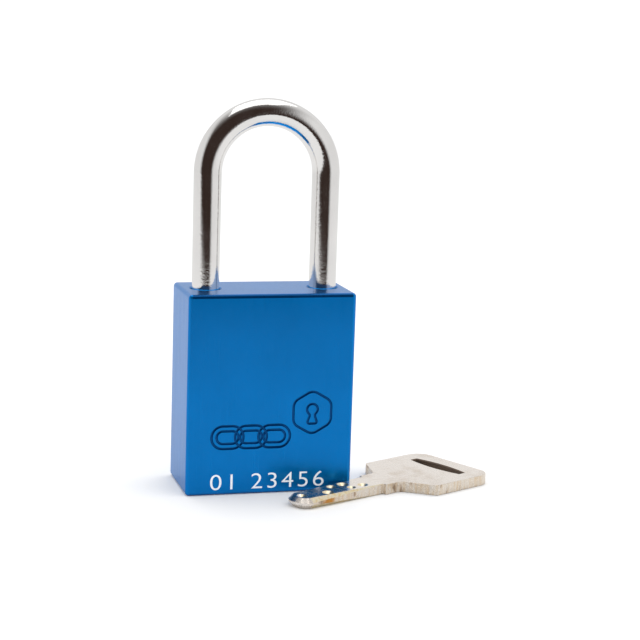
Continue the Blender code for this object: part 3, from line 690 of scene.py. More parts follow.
def zinc_finish(tint):
    """Zinc plate: small crystals of differing brightness with a straw-coloured passivation."""
    finish = Finish("zinc_steel", tint, 0.34, 1.0)
    crystals = finish.cells(1.6)
    finish.start(finish.darker(0.84))
    finish.lay(tint, crystals, 0.0, 1.0)
    finish.lay((0.66, 0.60, 0.44), finish.noise(0.4, 3.0), 0.45, 0.7, 0.5)
    finish.gloss(crystals, 0.0, 1.0, 0.28, 0.44)
    finish.relief(finish.noise(5.0, 3.0), 0.005)
    return finish.material


def spring_finish(tint):
    """Oiled spring wire: dark drawn steel with lighter rubbed streaks."""
    finish = Finish("spring_steel", tint, 0.30, 1.0)
    rubbed = finish.noise(1.4, 4.0)
    finish.start(finish.darker(0.8))
    finish.lay((0.56, 0.54, 0.51), rubbed, 0.45, 0.68, 0.8)
    finish.gloss(rubbed, 0.45, 0.68, 0.24, 0.38)
    finish.relief(finish.noise(8.0, 2.0, (1.0, 1.0, 0.4)), 0.004)
    return finish.material


def ink_finish(tint):
    """Printed white ink, slightly uneven and satin."""
    finish = Finish("printed_white", tint, 0.5, 0.0)
    finish.lay((0.52, 0.68, 0.84), finish.noise(2.2, 4.0), 0.52, 0.74, 0.5)
    finish.gloss(finish.noise(4.0, 2.0), 0.3, 0.7, 0.42, 0.58)
    finish.relief(finish.noise(6.0, 3.0), 0.004)
    return finish.material


def floor_finish(tint):
    """Smooth white paper, with painted shade in reflections: it is drawn a little darker where polished
    metal reflects it, so that the metal reads.
    """
    finish = Finish("white_paper", tint, 0.75, 0.0)
    finish.feed(finish.shader, Specular_IOR_Level=0.1)
    finish.start(finish.darker(0.985))
    finish.lay(tint, finish.noise(0.02, 2.0), 0.3, 0.7)
    reflected = finish.add("ShaderNodeLightPath").outputs["Is Glossy Ray"]
    # Painted shade: the paper's colour is darker only in glossy reflections.
    finish.lay(finish.darker(0.72), reflected, 0.0, 1.0)
    return finish.material


# ---------------------------------------------------------------- operators


def settings(context, *groups):
    """The property groups that are asked for, such as body or finishes."""
    return [getattr(context.scene, f"padlock_{group}") for group in groups]


def made_once(name, make, tint):
    """A finish that several pieces share, made the first time that it is asked for."""
    return bpy.data.materials.get(name) or make(tint)


def stacks():
    """Height, offset across the row, inner and outer end of each key pin."""
    boxes = [corners(f"key_pin_{number}") for number in range(1, PIN_COUNT + 1)]
    return [
        ((low[2] + high[2]) / 2, MID_X - (low[0] + high[0]) / 2, low[1], high[1]) for low, high in boxes
    ]


def pear_outline(grow, half_width):
    """Outline of the lock cylinder, grown on all sides: a round, and a straight-sided housing to +X."""
    radius = SHELL_R + grow
    reach = HOUSING_REACH + grow
    corner = HOUSING_CORNER + grow
    half_width = half_width + grow
    meet = math.degrees(math.asin(half_width / radius))
    turn = MID_X + reach - corner
    low_corner = arc((turn, corner - half_width), corner, 270, 360, 5)
    high_corner = arc((turn, half_width - corner), corner, 0, 90, 5)
    return np.concatenate([arc((MID_X, 0), radius, meet, 360 - meet, 84), low_corner, high_corner])


def locked_balls(shackle):
    """Places along X of the heel and the toe ball when they stand in the shackle's notches."""
    heel = HEEL_X + BAR_R - shackle.heel_bite + BALL_R
    toe = TOE_X - BAR_R + shackle.toe_bite - BALL_R
    return heel, toe


def engraved_lines(groove_radius):
    """Tools for the front's engraving: a round bar carried along the outlines of three interlocked
    double-edged links and of a six-sided badge with a keyhole in it. Sizes are in millimetres."""
    first_link = np.array([3.9, 13.8])
    link_pitch = np.array([5.6, 0.0])
    link_halves = np.array([(3.8, 2.7), (2.6, 1.5)])
    badge = np.array([24.2, 19.2])
    badge_reach = 5.3
    badge_corner = 1.3
    hole_radius = 1.3
    hole_rise = 0.75
    half_skirt = np.array([(0.55, -0.6), (1.3, -2.7)])
    stand_off = 0.04

    outlines = []
    for number in range(3):
        middle = first_link + number * link_pitch
        outlines += [softened(middle + half * SQUARE, half[1], 10) for half in link_halves]
    sixth = np.radians(np.arange(6) * 60 + 30)
    sides = badge_reach * np.stack([np.cos(sixth), np.sin(sixth)], axis=1)
    outlines.append(badge + softened(sides, badge_corner, 6))
    hole = arc(badge + (0, hole_rise), hole_radius, -35, 215, 25)
    skirt = badge + np.concatenate([half_skirt * (-1, 1), half_skirt[::-1]])
    outlines.append(softened(np.concatenate([hole, skirt]), 0.6, 3))
    tools = []
    for outline in outlines:
        depth = np.full(len(outline), BODY_LOW[1] / MM - stand_off)
        path = np.stack([outline[:, 0], depth, outline[:, 1]], axis=1) * MM
        tools.append(solid("groove", tube(path, groove_radius, (0, 1, 0), 12, looped=True), looped=True))
    return tools


def printed_digits(number, width, height, left, foot, front):
    """The number as a thin raised print: text made a mesh, then scaled to its width and height and stood
    up against the front. Spacing and weight are in shares of the text's size."""
    curve = bpy.data.curves.new("printed_number", "FONT")
    curve.body = number
    curve.space_character = 1.18
    curve.offset = -0.008
    curve.extrude = 0.01
    text = bpy.data.objects.new("printed_number", curve)
    bpy.context.scene.collection.objects.link(text)
    bpy.context.view_layer.update()
    graph = bpy.context.evaluated_depsgraph_get()
    mesh = bpy.data.meshes.new_from_object(text.evaluated_get(graph))
    bpy.data.objects.remove(text)
    points = np.zeros(len(mesh.vertices) * 3)
    mesh.vertices.foreach_get("co", points)
    points = points.reshape(-1, 3)
    low, high = points.min(axis=0), points.max(axis=0)
    share = (points - low) / (high - low)
    thickness = 0.03 * MM
    placed = np.stack(
        [left + share[:, 0] * width, front - (share[:, 2] - 0.5) * thickness, foot + share[:, 1] * height],
        axis=1,
    )
    mesh.vertices.foreach_set("co", placed.ravel())
    return sealed(mesh)


class PADLOCK_OT_body(Operator):
    """Block with its bores, cavity, cylinder pocket, engraving and printed number"""

    bl_idname = "padlock.body"
    bl_label = "Body block"

    def execute(self, context):
        body, cylinder, finishes = settings(context, "body", "cylinder", "finishes")
        blank = block("blank", BODY_LOW, BODY_HIGH, body.edge_radius)
        top = BODY_HIGH[2]
        mouth = body.bore_chamfer
        bore_r = BAR_R + body.leg_clearance
        channel_r = BALL_R + 0.15 * MM
        pocket_top = SHELL_HIGH[2] + GAP
        pocket = pear_outline(GAP, cylinder.housing_width / 2)
        clip_r = CLIP_HIGH[1] + GAP
        clip_top = CLIP_HIGH[2] + GAP
        cavity_r = MID_X - CAM_LOW[0] + GAP
        cavity_top = CAM_HIGH[2] + GAP
        cavity = [
            (clip_r, pocket_top - GAP), (clip_r, clip_top), (cavity_r, clip_top), (cavity_r, cavity_top)
        ]
        screw_r = SCREW_SHANK_R + GAP
        tools = [
            rod("heel_bore", bore_r, body.heel_floor, top, (HEEL_X, 0, 0), "Z", 96, mouth),
            rod("toe_bore", bore_r, body.toe_floor, top, (TOE_X, 0, 0), "Z", 96, mouth),
            prism("cylinder_pocket", pocket, [(-GAP, GAP + mouth), (mouth, 0), (pocket_top, 0)]),
            solid("cam_cavity", turned(cavity, (MID_X, 0, 0), "Z", 96)),
            rod("screw_passage", screw_r, pocket_top - GAP, body.toe_floor + GAP, (TOE_X, 0, 0)),
            rod("ball_channel", channel_r, HEEL_X, TOE_X, (0, 0, BALL_Z), "X", 64),
            *engraved_lines(body.groove_width / 2),
        ]
        mesh = carved("body_block", blank, tools)

        middle = middles_and_normals(mesh)[0]
        behind_front = middle[:, 1] - BODY_LOW[1]
        lowest_groove = 5 * MM
        inside = (np.abs(middle[:, 0] - MID_X) < PITCH / 2 + BAR_R) & (middle[:, 2] > lowest_groove)
        # Faces inside the engraved grooves are picked to take the darker blue as painted shade.
        groove_shade_mask = (behind_front > ON_FACE) & (behind_front < body.groove_width) & inside
        blue = anodised_finish("anodised_blue", finishes.body_blue)
        # A darker copy of the anodised blue, laid in the grooves as painted shade.
        groove = anodised_finish("engraved_blue", finishes.groove_shade_blue)
        piece("body_block", mesh, [blue, groove], "case", ["body"], which=groove_shade_mask)

        digits = printed_digits(
            body.number, body.number_width, body.number_height, HEEL_X, body.number_foot, BODY_LOW[1]
        )
        ink = ink_finish(finishes.print_white)
        piece("printed_number", digits, [ink], "case")
        return {"FINISHED"}


class PADLOCK_OT_shackle(Operator):
    """Bent bar with a long heel leg and a short toe leg, notched for the balls"""

    bl_idname = "padlock.shackle"
    bl_label = "Shackle"

    def execute(self, context):
        shackle, finishes = settings(context, "shackle", "finishes")
        bow_r = PITCH / 2
        bow_z = SHACKLE_HIGH[2] - BAR_R - bow_r
        chamfer = shackle.end_chamfer
        heel_end = SHACKLE_LOW[2]
        heel_edge = heel_end + chamfer
        toe_end = BALL_Z - shackle.toe_tail
        leg = np.linspace(0, 1, 110)
        heel = np.concatenate([[heel_end, heel_edge], heel_edge + (bow_z - heel_edge) * leg[1:-1]])
        toe = np.concatenate([bow_z + (toe_end + chamfer - bow_z) * leg[1:], [toe_end]])
        path = np.concatenate([
            np.stack([np.full(len(heel), HEEL_X), heel], axis=1),
            arc((MID_X, bow_z), bow_r, 180, 0, 120),
            np.stack([np.full(len(toe), TOE_X), toe], axis=1),
        ])
        path = np.stack([path[:, 0], np.zeros(len(path)), path[:, 1]], axis=1)
        radius = np.full(len(path), BAR_R)
        radius[[0, -1]] = BAR_R - chamfer
        bar = solid("bar", tube(path, radius, (0, 1, 0), 96))

        notch_r = BALL_R + GAP
        heel_ball, toe_ball = locked_balls(shackle)
        side = 2 * BAR_R
        flat_x = HEEL_BALL_X - BALL_R - GAP
        ring = arc((heel_ball - HEEL_X, BALL_Z - LIFT), notch_r, 0, 360, 48)[:-1]
        tools = [
            rod("heel_notch", notch_r, -side, side, (heel_ball, 0, BALL_Z), "Y", 96),
            rod("toe_notch", notch_r, -side, side, (toe_ball, 0, BALL_Z), "Y", 96),
            block("heel_flat", (flat_x, -side, BALL_Z - LIFT), (HEEL_X + 2 * side, side, BALL_Z)),
            solid("heel_groove", turned(ring, (HEEL_X, 0, 0), "Z", 96), looped=True),
        ]
        mesh = carved("shackle_bar", bar, tools)
        chrome = chrome_finish(finishes.chrome)
        piece("shackle_bar", mesh, [chrome], "shackle", ["shackle"])
        return {"FINISHED"}


class PADLOCK_OT_shackle_spring(Operator):
    """Compression spring under the heel leg"""

    bl_idname = "padlock.shackle_spring"
    bl_label = "Shackle spring"

    def execute(self, context):
        shackle, finishes = settings(context, "shackle", "finishes")
        wire_r = shackle.spring_wire / 2
        coil_r = SPRING_HIGH[0] - HEEL_X - wire_r
        foot, top = SPRING_LOW[2], SPRING_HIGH[2]
        path = coil(coil_r, wire_r, top - foot, shackle.spring_turns)
        path = path + np.array([HEEL_X, 0, foot])
        radius = np.full(len(path), wire_r)
        radius[[0, -1]] = 0.7 * wire_r
        mesh = solid("shackle_coil", tube(path, radius, (0, 0, 1), 16))
        steel = made_once("spring_steel", spring_finish, finishes.spring_steel)
        spring = piece("shackle_coil", mesh, [steel], None, ["shackle_spring"])
        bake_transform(spring)
        return {"FINISHED"}


class PADLOCK_OT_balls(Operator):
    """Two hardened balls between the cam and the shackle's legs"""

    bl_idname = "padlock.balls"
    bl_label = "Locking balls"

    def execute(self, context):
        steel = ball_finish(context.scene.padlock_finishes.ball_steel)
        half = arc((0, 0), BALL_R, -90, 90, 40)
        for name, place in (("heel_ball", HEEL_BALL_X), ("toe_ball", TOE_BALL_X)):
            mesh = solid(name, turned(half, (place, 0, BALL_Z), "Z", 80))
            piece(f"{name}_bearing", mesh, [steel], name, [name])
        return {"FINISHED"}


def cam_reach(angle, heel_locked, toe_locked):
    """Radius of the cam at angles of its own, kept clear of both balls. As the cam goes from drawn back
    (share 0) to locked (share 1) it turns a quarter back and each ball moves outward in step; at every
    moment the ray at this angle may run no further than the ball's surface."""
    play = 0.1 * MM
    share = np.linspace(0, 1, 91)[None, :]
    ball = BALL_R + play
    largest = toe_locked - MID_X - ball
    reach = np.full(len(angle), largest)
    for bearing, start, end in (
        (0.0, TOE_BALL_X - MID_X, toe_locked - MID_X),
        (math.pi, MID_X - HEEL_BALL_X, MID_X - heel_locked),
    ):
        distance = start + (end - start) * share
        across = angle[:, None] - math.pi / 2 * share - bearing
        miss = np.abs(distance * np.sin(across))
        met = (miss < ball) & (np.cos(across) > 0)
        limit = distance * np.cos(across) - np.sqrt(np.clip(ball**2 - miss**2, 0, None))
        reach = np.minimum(reach, np.where(met, limit, largest).min(axis=1))
    return reach


class PADLOCK_OT_cam(Operator):
    """Cam between the balls: a turned spindle, two lobes and a slot for the plug's tail"""

    bl_idname = "padlock.cam"
    bl_label = "Locking cam"

    def execute(self, context):
        shackle, cylinder, finishes = settings(context, "shackle", "cylinder", "finishes")
        edge = cylinder.tool_break
        skirt_r = MID_X - CAM_LOW[0]
        skirt_top = BALL_Z - BALL_R - 0.9 * MM
        neck_r = 3.3 * MM
        boss_r = 2.5 * MM
        half_lobe = 3.0 * MM
        neck_top = BALL_Z - half_lobe + GAP
        low, high = CAM_LOW[2], CAM_HIGH[2]
        profile = softened(
            [(0, low), (skirt_r, low), (skirt_r, skirt_top), (neck_r, skirt_top), (neck_r, neck_top),
             (boss_r, neck_top), (boss_r, high), (0, high)],
            edge * 1.5, 3, closed=False,
        )
        spindle = solid("spindle", turned(profile, (MID_X, 0, 0), "Z", 96))
        angle = np.linspace(0, FULL_TURN, 180, endpoint=False)
        reach = cam_reach(angle, *locked_balls(shackle))
        outline = np.stack([MID_X + reach * np.cos(angle), reach * np.sin(angle)], axis=1)
        lobes = solid("lobes", plate(outline, BALL_Z - half_lobe, BALL_Z + half_lobe, edge, 2))
        joined = carved("spindle_and_lobes", spindle, [lobes], "UNION")
        half_x = TAIL_LONG / 2 + GAP
        half_y = TAIL_SHORT / 2 + GAP
        slot_top = PLUG_HIGH[2] + GAP
        slot = block(
            "tail_slot", (MID_X - half_x, -half_y, low - OVERRUN), (MID_X + half_x, half_y, slot_top)
        )
        mesh = carved("cam", joined, [slot])
        zinc = made_once("zinc_steel", zinc_finish, finishes.zinc)
        piece("ball_cam", mesh, [zinc], "plug", ["locking_cam"])
        return {"FINISHED"}


class PADLOCK_OT_shell(Operator):
    """Cylinder shell with its pin housing, and the strip that closes the pin chambers"""

    bl_idname = "padlock.shell"
    bl_label = "Cylinder shell"

    def execute(self, context):
        cylinder, finishes = settings(context, "cylinder", "finishes")
        edge = cylinder.tool_break
        low, high = SHELL_LOW[2], SHELL_HIGH[2]
        outline = pear_outline(0.0, cylinder.housing_width / 2)
        blank = solid("shell_blank", plate(outline, low, high, edge, 3))
        bore_r = cylinder.plug_radius + GAP
        seat_r = RIM_R + GAP
        seat_top = low + cylinder.rim_height + GAP
        bore = [
            (seat_r + edge, low - GAP), (seat_r + edge, low), (seat_r, low + edge), (seat_r, seat_top),
            (bore_r, seat_top), (bore_r, high - edge), (bore_r + edge, high), (bore_r + edge, high + GAP),
        ]
        tools = [
            solid("plug_bore", turned(bore, (MID_X, 0, 0), "Z", 96)),
            rod("screw_hole", SCREW_SHANK_R + GAP, SCREW_LOW[2] - GAP, high, (TOE_X, 0, 0), "Z", 40, edge),
            block("strip_recess", STRIP_LOW - GAP, STRIP_HIGH + (OVERRUN, GAP, GAP)),
        ]
        chamber_r = cylinder.pin_diameter / 2 + GAP
        chamber_start = 3 * MM
        chamber_end = HOUSING_REACH + OVERRUN
        for height, offset, *_ in stacks():
            place = (MID_X, offset, height)
            tools.append(rod("chamber", chamber_r, chamber_start, chamber_end, place, "X", 28))
        mesh = carved("cylinder_shell", blank, tools)
        brass = brass_finish("turned_brass", finishes.turned_brass, (MID_X, 0, 0), 5.0)
        piece("cylinder_housing", mesh, [brass], "case", ["cylinder_shell"])

        strip = block("strip", STRIP_LOW, STRIP_HIGH, edge)
        piece("chamber_strip", strip, [brass], "case", ["pin_cover_strip"])
        return {"FINISHED"}


class PADLOCK_OT_plug(Operator):
    """Turned plug with its keyway, pin chambers and tail, and the clip that holds it"""

    bl_idname = "padlock.plug"
    bl_label = "Plug and clip"

    def execute(self, context):
        cylinder, finishes = settings(context, "cylinder", "finishes")
        edge = cylinder.tool_break
        face = PLUG_LOW[2]
        ring_r = 5.35 * MM
        ring_half = 0.25 * MM
        ring_depth = 0.2 * MM
        rim_top = face + cylinder.rim_height
        clip_low = SHELL_HIGH[2]
        clip_high = CLIP_HIGH[2] + GAP
        barrel_top = CAM_LOW[2] - GAP
        barrel_r = cylinder.plug_radius
        groove_r = cylinder.groove_radius
        neck_r = cylinder.neck_radius
        profile = softened(
            [(0, face), (ring_r - ring_half, face), (ring_r, face + ring_depth), (ring_r + ring_half, face),
             (RIM_R, face), (RIM_R, rim_top), (barrel_r, rim_top), (barrel_r, clip_low),
             (groove_r, clip_low), (groove_r, clip_high), (neck_r, clip_high), (neck_r, barrel_top),
             (0, barrel_top)],
            edge * 1.2, 3, closed=False,
        )
        barrel = solid("barrel", turned(profile, (MID_X, 0, 0), "Z", 96))
        half_x = TAIL_LONG / 2
        half_y = TAIL_SHORT / 2
        foot = barrel_top - GAP
        tail = block("tail", (MID_X - half_x, -half_y, foot), (MID_X + half_x, half_y, PLUG_HIGH[2]), edge)
        joined = carved("barrel_and_tail", barrel, [tail], "UNION")
        half = np.array([cylinder.keyway_width / 2, cylinder.keyway_height / 2])
        keyway_end = SHELL_HIGH[2] - 2.5 * MM
        keyway_corner = 0.25 * MM
        keyway = softened(SQUARE * half + (MID_X, 0), keyway_corner, 3)
        lead = 0.5 * MM
        levels = [(face - OVERRUN, OVERRUN + lead), (face + lead, 0), (keyway_end, 0)]
        tools = [prism("keyway", keyway, levels)]
        chamber_r = cylinder.pin_diameter / 2 + GAP
        for height, offset, *_ in stacks():
            place = (MID_X - offset, 0, height)
            tools.append(rod("chamber", chamber_r, 0.0, barrel_r + OVERRUN, place, "Y", 28))
        mesh = carved("plug_barrel", joined, tools)
        brass = brass_finish("plug_brass", finishes.turned_brass, (MID_X, 0, 0), 6.5)
        piece("plug_barrel", mesh, [brass], "plug", ["plug"])
        self.clip(groove_r + GAP, finishes)
        return {"FINISHED"}

    def clip(self, inner_r, finishes):
        """The clip: a flat open ring between two arcs, with a round eye near each end."""
        mouth = 26
        eye_bearing = mouth + 6
        eye_r = 0.42 * MM
        edge = 0.08 * MM
        outer_r = MID_X - CLIP_LOW[0]
        low, high = CLIP_LOW[2], CLIP_HIGH[2]
        outer = arc((MID_X, 0), outer_r, mouth, 360 - mouth, 90)
        ring = np.concatenate([outer, arc((MID_X, 0), inner_r, 360 - mouth, mouth, 90)])
        blank = solid("clip_blank", plate(ring, low, high, edge, 2))
        eyes = []
        for spot in np.radians([eye_bearing, -eye_bearing]):
            middle_r = (outer_r + inner_r) / 2
            place = (MID_X + middle_r * math.cos(spot), middle_r * math.sin(spot), 0)
            eyes.append(rod("eye", eye_r, low - GAP, high + GAP, place, "Z", 24))
        mesh = carved("clip", blank, eyes)
        steel = made_once("spring_steel", spring_finish, finishes.spring_steel)
        piece("retaining_clip", mesh, [steel], "plug", ["plug_circlip"])


class PADLOCK_OT_pins(Operator):
    """Key pins, driver pins and their springs"""

    bl_idname = "padlock.pins"
    bl_label = "Pins and springs"

    def execute(self, context):
        cylinder, finishes = settings(context, "cylinder", "finishes")
        brass = brass_finish("pin_brass", finishes.turned_brass, (0, 0, 0), 3.0)
        steel = made_once("spring_steel", spring_finish, finishes.spring_steel)
        radius = cylinder.pin_diameter / 2
        waist = radius - 0.18 * MM
        edge = 0.12 * MM
        wire_r = cylinder.pin_wire / 2
        point = (radius - PIN_TIP_R) / PIN_SLOPE
        for number, (height, offset, inner, outer) in enumerate(stacks(), 1):
            long = outer - inner
            profile = softened(
                [(0, 0), (PIN_TIP_R, 0), (radius, point), (radius, long), (0, long)], edge, 3, closed=False
            )
            mesh = solid("key_pin", turned(profile, (MID_X - offset, inner, height), "Y", 40))
            piece(f"pointed_pin_{number}", mesh, [brass], "plug", [f"key_pin_{number}"])

            low, high = corners(f"driver_pin_{number}")
            long = high[0] - low[0]
            profile = softened(
                [(0, 0), (radius, 0), (radius, 0.3 * long), (waist, 0.36 * long), (waist, 0.64 * long),
                 (radius, 0.7 * long), (radius, long), (0, long)],
                edge, 3, closed=False,
            )
            mesh = solid("driver", turned(profile, (low[0], offset, height), "X", 40))
            piece(f"spool_pin_{number}", mesh, [brass], "case", [f"driver_pin_{number}"])

            low, high = corners(f"pin_spring_{number}")
            path = coil(radius - wire_r, wire_r, high[0] - low[0], cylinder.pin_turns, 28)
            path = stand(path, (low[0], offset, height), "X")
            mesh = solid("pin_coil", tube(path, wire_r, (1, 0, 0), 10))
            piece(f"pin_coil_{number}", mesh, [steel], "case", [f"pin_spring_{number}"])
        return {"FINISHED"}


class PADLOCK_OT_screw(Operator):
    """Screw at the foot of the toe bore, with a rolled thread and a hexagon socket"""

    bl_idname = "padlock.screw"
    bl_label = "Cylinder screw"

    def execute(self, context):
        cylinder, finishes = settings(context, "cylinder", "finishes")
        end, top = SCREW_LOW[2], SCREW_HIGH[2]
        head_r = SCREW_HIGH[1]
        head_low = top - 1.8 * MM
        head_edge = 0.25 * MM
        socket_r = 1.3 * MM
        socket_floor = top - 1.1 * MM
        thread_depth = 0.3 * MM
        tip_taper = 0.15 * MM
        run_in = 0.6 * MM
        run_out = 0.5 * MM
        steps = 72
        angle = np.linspace(0, FULL_TURN, steps, endpoint=False)[None, :]
        height = np.linspace(end, head_low, 131)[:, None]
        phase = (height - end) / cylinder.thread_pitch - angle / FULL_TURN
        ridge = 1 - np.abs(2 * (phase % 1) - 1)
        begun = np.clip((height - end) / run_in, 0, 1)
        threaded = np.clip((head_low - run_out - height) / run_out, 0, 1)
        crest = np.clip(ridge * 1.25, 0, 1) * begun * threaded + (1 - threaded)
        radius = SCREW_SHANK_R - thread_depth * (1 - crest) - tip_taper * (1 - begun)
        height = np.broadcast_to(height, radius.shape)
        shank = np.stack([TOE_X + radius * np.cos(angle), radius * np.sin(angle), height], axis=-1)
        head = [(SCREW_SHANK_R, head_low), (head_r, head_low), (head_r, top), (0, top)]
        head = softened(head, head_edge, 4, closed=False)
        blank = solid("screw_blank", np.concatenate([shank, turned(head, (TOE_X, 0, 0), "Z", steps)]))
        hexagon = arc((TOE_X, 0), socket_r, 0, 360, 6)[:-1]
        lead = 0.2 * MM
        levels = [(socket_floor, 0), (top - lead, 0), (top + OVERRUN, OVERRUN + lead)]
        socket = prism("socket", hexagon, levels)
        mesh = carved("screw", blank, [socket])
        zinc = made_once("zinc_steel", zinc_finish, finishes.zinc)
        piece("socket_screw", mesh, [zinc], "case", ["cylinder_screw"])
        return {"FINISHED"}


class PADLOCK_OT_key(Operator):
    """Flat dimple key with a chamfered nose, a slotted bow and cone dimples on both faces"""

    bl_idname = "padlock.key"
    bl_label = "Key"

    def execute(self, context):
        body, key, finishes = settings(context, "body", "key", "finishes")
        outline, nose_share = self.outline(key)
        edge = key.edge_break + (key.nose_chamfer - key.edge_break) * nose_share
        blank = solid("key_blank", plate(outline, 0.0, KEY_THICKNESS, edge, 1))
        mesh = carved("key_blade", blank, [self.slot(key), *self.dimples()])
        which = self.finish_numbers(mesh, key)
        place = self.resting_place(key, body)
        mesh.transform(Matrix.Translation(place) @ Matrix.Rotation(key.heading, 4, "Z"))
        stain = (-17.3, -key.blade_width / 2 / MM, 1.3)
        finish_list = [
            key_face_finish(finishes.nickel, place, key.heading),
            key_edge_finish(finishes.worn_edge, place, key.heading, stain),
            cut_brass_finish(finishes.cut_brass, place, key.heading),
            slot_shade_finish(finishes.slot_shade_brown, place, key.heading),
        ]
        piece("dimple_key", mesh, finish_list, "key", ["key"], which=which, crease=25)
        return {"FINISHED"}

    def outline(self, key):
        """Outline about the stop, blade to -X and bow to +X, and how far each point takes part in the
        nose. The nose is half an ellipse; the other corners are small arcs."""
        half_blade, half_neck, half_bow = key.blade_width / 2, key.neck_width / 2, key.bow_width / 2
        angle = np.linspace(math.pi / 2, -math.pi / 2, 41)
        nose_x = -key.blade_length + key.nose_length * (1 - np.cos(angle))
        nose = np.stack([nose_x, half_blade * np.sin(angle)], axis=1)
        corner = [
            nose[-1], (0.0, -half_blade), (0.0, -half_neck), (key.neck_length, -half_neck),
            (key.bow_start, -half_bow), (key.bow_length, -half_bow), (key.bow_length, 0),
        ]
        reach = np.array([0.0, 0.25 * MM, 0.25 * MM, 1.2 * MM, 0.8 * MM, key.bow_corner, 0.0])
        steps = 8
        lower = softened(corner, reach, steps, closed=False)[steps + 1:-steps - 1]
        outline = np.concatenate([nose, lower, lower[::-1] * (1, -1)])
        share = np.zeros(len(outline))
        share[: len(nose)] = 1.0
        return outline, share

    def dimples(self):
        """Tools for the dimples on both faces: blunt cones that match the key pins' points."""
        cones = []
        for height, offset, inner, _ in stacks():
            depth = KEY_THICKNESS / 2 - inner
            mouth_r = PIN_TIP_R + (depth + GAP) * PIN_SLOPE
            for face, side in ((KEY_THICKNESS, 1), (0.0, -1)):
                cone = [(PIN_TIP_R, face - side * depth), (mouth_r, face + side * GAP)]
                place = (PLUG_LOW[2] - height, side * offset, 0)
                cones.append(solid("dimple", turned(cone, place, "Z", 48)))
        return cones

    def finish_numbers(self, mesh, key):
        """Number of each face's finish: 0 for the faces and the nose, 1 for the edges, 2 for the dimples
        and 3 for the slot."""
        middle, normal = middles_and_normals(mesh)
        wall = np.abs(normal[:, 2]) < 0.35
        on_face = (middle[:, 2] < ON_FACE) | (middle[:, 2] > KEY_THICKNESS - ON_FACE)
        on_nose = middle[:, 0] < -key.blade_length + key.nose_length
        rim = np.abs(middle[:, 1]) > key.blade_width / 2 - 2 * key.edge_break
        dimple = ~on_face & ~wall & ~on_nose & ~rim & (middle[:, 0] < 0)
        in_slot = np.hypot(middle[:, 0] - key.slot_centre, 0.3 * middle[:, 1]) < key.slot_middle
        which = np.where((wall | rim) & ~on_nose & ~on_face, 1, 0)
        which = np.where(dimple, 2, which)
        # Faces in the slot take the brown painted shade.
        return np.where(in_slot & ~on_face, 3, which)

    def slot(self, key):
        """Tool for the slot: a lens whose width falls with the square of the distance from its middle,
        flared a little where it meets the two faces."""
        share = np.linspace(-1, 1, 25)
        width = (key.slot_end + (key.slot_middle - key.slot_end) * (1 - share**2)) / 2
        along = share * key.slot_length / 2
        right = np.stack([key.slot_centre + width, along], axis=1)
        left = np.stack([key.slot_centre - width, along], axis=1)[::-1]
        flare = 0.25 * MM
        return prism("bow_slot", np.concatenate([right, left]), [
            (-OVERRUN, OVERRUN + flare), (flare, 0), (KEY_THICKNESS - flare, 0),
            (KEY_THICKNESS + OVERRUN, OVERRUN + flare),
        ])

    def resting_place(self, key, body):
        """The stop's place on the table: the blade passes the body's front corner with the usual gap."""
        corner = Vector((BODY_HIGH[0] - body.edge_radius, BODY_LOW[1] + body.edge_radius, 0.0))
        along = Vector((math.cos(key.heading), math.sin(key.heading), 0.0))
        across = Vector((-math.sin(key.heading), math.cos(key.heading), 0.0))
        aside = body.edge_radius + GAP + key.blade_width / 2
        return corner + along * key.past_corner - across * aside


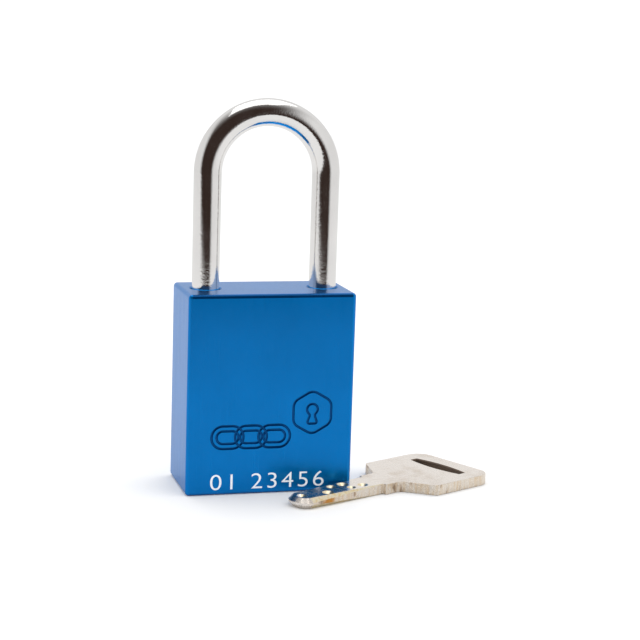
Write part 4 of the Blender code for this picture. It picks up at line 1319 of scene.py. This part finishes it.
class PADLOCK_OT_stage(Operator):
    """White paper floor, soft studio light and the camera"""

    bl_idname = "padlock.stage"
    bl_label = "Stage"

    def execute(self, context):
        scene = context.scene
        left, right = -FLOOR_HALF_WIDTH, FLOOR_HALF_WIDTH
        plan = [(left, FLOOR_FRONT), (right, FLOOR_FRONT), (right, FLOOR_BACK), (left, FLOOR_BACK)]
        mesh = solid("floor", plate(np.array(plan), FLOOR_FOOT, FLOOR_TOP, 0.0, 1))
        floor = bpy.data.objects.new("paper_floor", mesh)
        scene.collection.objects.link(floor)
        mesh.materials.append(floor_finish(scene.padlock_finishes.floor_white))
        scene.view_settings.view_transform = "Standard"
        self.world(scene)
        target = Vector((MID_X, 0, 0.035))
        self.soft_light("top_light", (0.05, 0.10, 0.75), target, size=0.7, power=1.6)
        self.camera(scene)
        return {"FINISHED"}

    def world(self, scene):
        """A white tent. Where it is seen only in reflections, it has a dark opening on the camera's side,
        about a quarter of a turn wide, which fades out overhead."""
        world = bpy.data.worlds.new("studio_tent")
        scene.world = world
        world.use_nodes = True
        nodes = Nodes(world.node_tree)
        direction = nodes.add("ShaderNodeTexCoord").outputs["Generated"]
        front = (math.sin(OPENING_AZIMUTH), -math.cos(OPENING_AZIMUTH), 0)
        across = (math.cos(OPENING_AZIMUTH), math.sin(OPENING_AZIMUTH), 0)
        ahead = nodes.vector("DOT_PRODUCT", direction, front)
        aside = nodes.math("ABSOLUTE", nodes.vector("DOT_PRODUCT", direction, across))
        ahead = nodes.span(ahead, *OPENING_AHEAD, shape="SMOOTHSTEP")
        aside = nodes.span(aside, *OPENING_ASIDE, shape="SMOOTHSTEP")
        tent = nodes.blend(nodes.math("MULTIPLY", ahead, aside), TENT_WHITE, OPENING_DARK)
        reflected = nodes.add("ShaderNodeLightPath").outputs["Is Glossy Ray"]
        seen = nodes.blend(reflected, BACKDROP_WHITE, tent)
        nodes.feed(world.node_tree.nodes["Background"], Color=seen, Strength=1.0)

    def soft_light(self, name, place, target, size, power):
        """A square soft light that points at the target and isn't seen itself."""
        lamp = bpy.data.lights.new(name, "AREA")
        lamp.size = size
        lamp.energy = power
        obj = bpy.data.objects.new(name, lamp)
        obj.location = place
        obj.rotation_mode = "QUATERNION"
        obj.rotation_quaternion = (target - Vector(place)).to_track_quat("-Z", "Y")
        obj.visible_camera = False
        bpy.context.scene.collection.objects.link(obj)

    def camera(self, scene):
        """A long lens a little above the shackle's bow, left of the front, rolled very slightly."""
        back = Vector((
            math.sin(CAMERA_AZIMUTH) * math.cos(CAMERA_ELEVATION),
            -math.cos(CAMERA_AZIMUTH) * math.cos(CAMERA_ELEVATION),
            math.sin(CAMERA_ELEVATION),
        ))
        right = (-back).cross(Vector((0, 0, 1))).normalized()
        turn = Matrix((right, back.cross(right), back)).transposed()
        lens = bpy.data.cameras.new("camera")
        lens.lens = CAMERA_LENS
        lens.sensor_width = 36.0
        lens.clip_start = 0.01
        lens.clip_end = 20.0
        camera = bpy.data.objects.new("camera", lens)
        camera.matrix_world = Matrix.Translation(CAMERA_PLACE) @ (
            turn @ Matrix.Rotation(CAMERA_ROLL, 3, "Z")
        ).to_4x4()
        scene.collection.objects.link(camera)
        scene.camera = camera


BUILDERS = (
    PADLOCK_OT_body,
    PADLOCK_OT_shackle,
    PADLOCK_OT_shackle_spring,
    PADLOCK_OT_balls,
    PADLOCK_OT_cam,
    PADLOCK_OT_shell,
    PADLOCK_OT_plug,
    PADLOCK_OT_pins,
    PADLOCK_OT_screw,
    PADLOCK_OT_key,
    PADLOCK_OT_stage,
)
GROUPS = {
    "padlock_body": PadlockBodySizes,
    "padlock_shackle": PadlockShackleSizes,
    "padlock_cylinder": PadlockCylinderSizes,
    "padlock_key": PadlockKeySizes,
    "padlock_finishes": PadlockFinishes,
}


class PADLOCK_PT_sidebar(Panel):
    """Sizes, colours and builders of the padlock"""

    bl_idname = "PADLOCK_PT_sidebar"
    bl_label = "Padlock"
    bl_space_type = "VIEW_3D"
    bl_region_type = "UI"
    bl_category = "Padlock"

    def draw(self, context):
        for attribute, group in GROUPS.items():
            box = self.layout.box()
            box.label(text=group.__doc__)
            for name in group.__annotations__:
                box.prop(getattr(context.scene, attribute), name)
        for builder in BUILDERS:
            self.layout.operator(builder.bl_idname)


def register():
    """Add the classes and their settings to Blender."""
    for group in GROUPS.values():
        bpy.utils.register_class(group)
    for attribute, group in GROUPS.items():
        setattr(bpy.types.Scene, attribute, PointerProperty(type=group))
    for item in (*BUILDERS, PADLOCK_PT_sidebar):
        bpy.utils.register_class(item)


def unregister():
    """Take the classes and their settings out of Blender."""
    for item in (PADLOCK_PT_sidebar, *reversed(BUILDERS)):
        bpy.utils.unregister_class(item)
    for attribute in GROUPS:
        delattr(bpy.types.Scene, attribute)
    for group in reversed(GROUPS.values()):
        bpy.utils.unregister_class(group)


def main():
    """Build every piece and the stage."""
    register()
    for builder in BUILDERS:
        family, name = builder.bl_idname.split(".")
        getattr(getattr(bpy.ops, family), name)()


if __name__ == "__main__":
    main()
